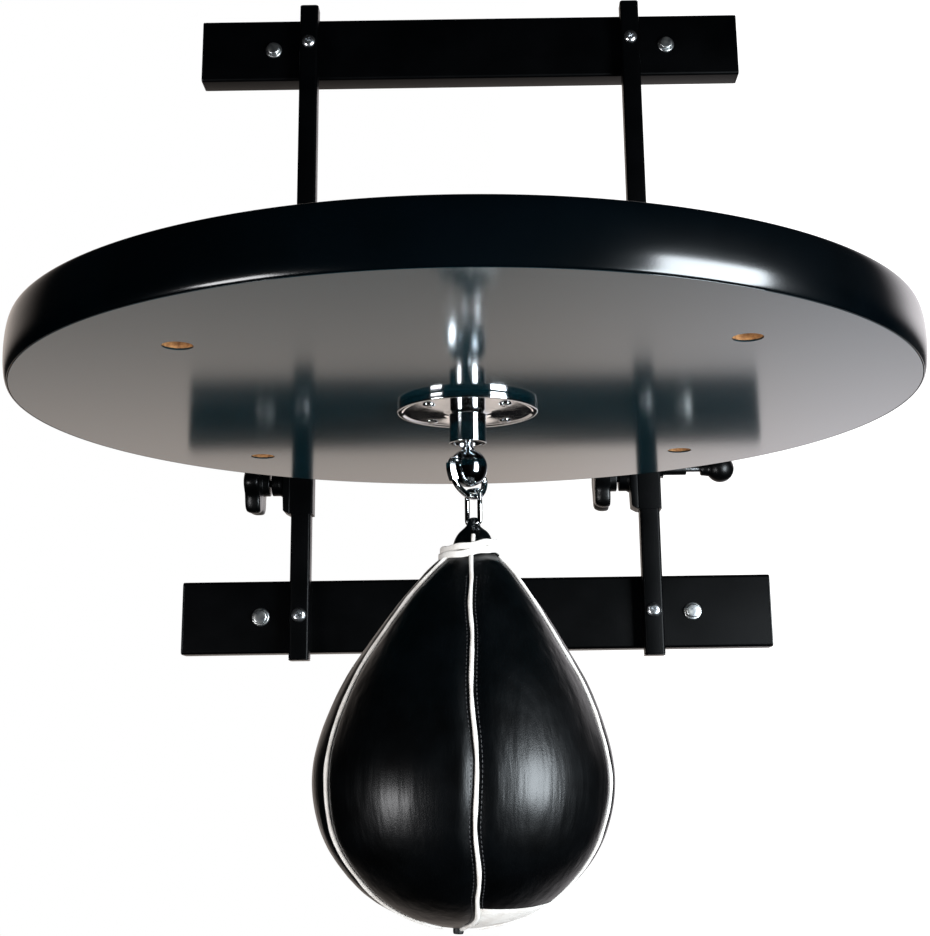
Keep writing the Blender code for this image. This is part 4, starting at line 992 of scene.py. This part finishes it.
def make_world():
    """White surroundings: bright on the wall's side, dim on the viewer's side, white to the camera."""
    world = bpy.data.worlds.new("studio")
    bpy.context.scene.world = world
    world.use_nodes = True
    nodes, links = world.node_tree.nodes, world.node_tree.links
    nodes.clear()
    place = nodes.new("ShaderNodeTexCoord")
    split = nodes.new("ShaderNodeSeparateXYZ")
    links.new(place.outputs["Generated"], split.inputs["Vector"])
    to_camera = nodes.new("ShaderNodeLightPath").outputs["Is Camera Ray"]

    def mapped(value, low, high, at_low, at_high):
        return map_range(nodes, links, value, low, high, at_low, at_high, "SMOOTHSTEP")

    def combined(operation, *values):
        made = nodes.new("ShaderNodeMath")
        made.operation = operation
        for value, socket in zip(values, made.inputs):
            links.new(value, socket)
        return made.outputs["Value"]

    def mixed(factor, a, b):
        made = nodes.new("ShaderNodeMix")
        made.data_type = "RGBA"
        links.new(factor, made.inputs["Factor"])
        for socket, value in (("A", a), ("B", b)):
            if isinstance(value, tuple):
                made.inputs[socket].default_value = (*value, 1)
            else:
                links.new(value, made.inputs[socket])
        return made.outputs["Result"]

    across, depth, height = (split.outputs[axis] for axis in "XYZ")
    wall = mapped(depth, 0.45, 0.95, 0.003, 1.0)
    for factor in (mapped(across, -0.1, 0.3, 0.85, 1.5), mapped(across, 0.45, 0.85, 1.0, 3.0),
                   mapped(height, -0.36, -0.14, 0.55, 1.05)):
        wall = combined("MULTIPLY", wall, factor)
    aside = mapped(combined("ABSOLUTE", across), 0.4, 0.54, 1.0, 0.0)
    wall = combined("MULTIPLY", wall, combined("MAXIMUM", aside, mapped(height, 0.16, 0.27, 0.02, 1.0)))
    shade = nodes.new("ShaderNodeBackground")
    tint = mixed(mapped(across, 0.0, 0.26, 0.0, 1.0), (1.0, 0.88, 0.8), (1.0, 0.96, 0.99))
    links.new(mixed(to_camera, tint, (1, 1, 1)), shade.inputs["Color"])
    links.new(combined("MAXIMUM", to_camera, wall), shade.inputs["Strength"])
    out = nodes.new("ShaderNodeOutputWorld")
    links.new(shade.outputs["Background"], out.inputs["Surface"])


def make_camera():
    """The viewer's eye, below and in front of the drum, looking up at it."""
    eye = Vector((0.0146, -1.4671, -0.7229))
    yaw, pitch, roll = (radians(degrees) for degrees in (0.0378, 14.295, -0.8265))
    camera = bpy.data.cameras.new("camera")
    camera.lens, camera.sensor_width = 57.472, 36
    camera.shift_x, camera.shift_y = -0.024, -0.0999
    made = added("camera", camera)
    ahead = Vector((-sin(yaw) * cos(pitch), cos(yaw) * cos(pitch), sin(pitch)))
    right = Vector((cos(yaw), sin(yaw), 0))
    up = right.cross(ahead)
    right, up = (right * cos(roll) + up * sin(roll), up * cos(roll) - right * sin(roll))
    turn = Matrix((right, up, -ahead)).transposed().to_4x4()
    made.matrix_world = Matrix.Translation(eye) @ turn
    bpy.context.scene.camera = made


make_floor()
make_world()
soft_light("softbox_right", place=(1.1, -1.34, -0.73), target=(0.1, -0.66, -0.66), width=0.64, height=0.86,
           power=46, colour=(0.86, 0.94, 1.0))
soft_light("softbox_left", place=(-1.73, -1.88, -1.36), target=(0, -0.6, -0.7), width=0.74, height=0.62,
           power=23, colour=(0.98, 0.98, 1.0))
fill = soft_light("fill", place=(-0.3, -2.6, -0.6), target=(0, -0.3, -0.55), width=2.5, height=2.0,
                  power=50)
fill.visible_glossy = False
make_camera()
bpy.context.scene.view_settings.view_transform = "Standard"
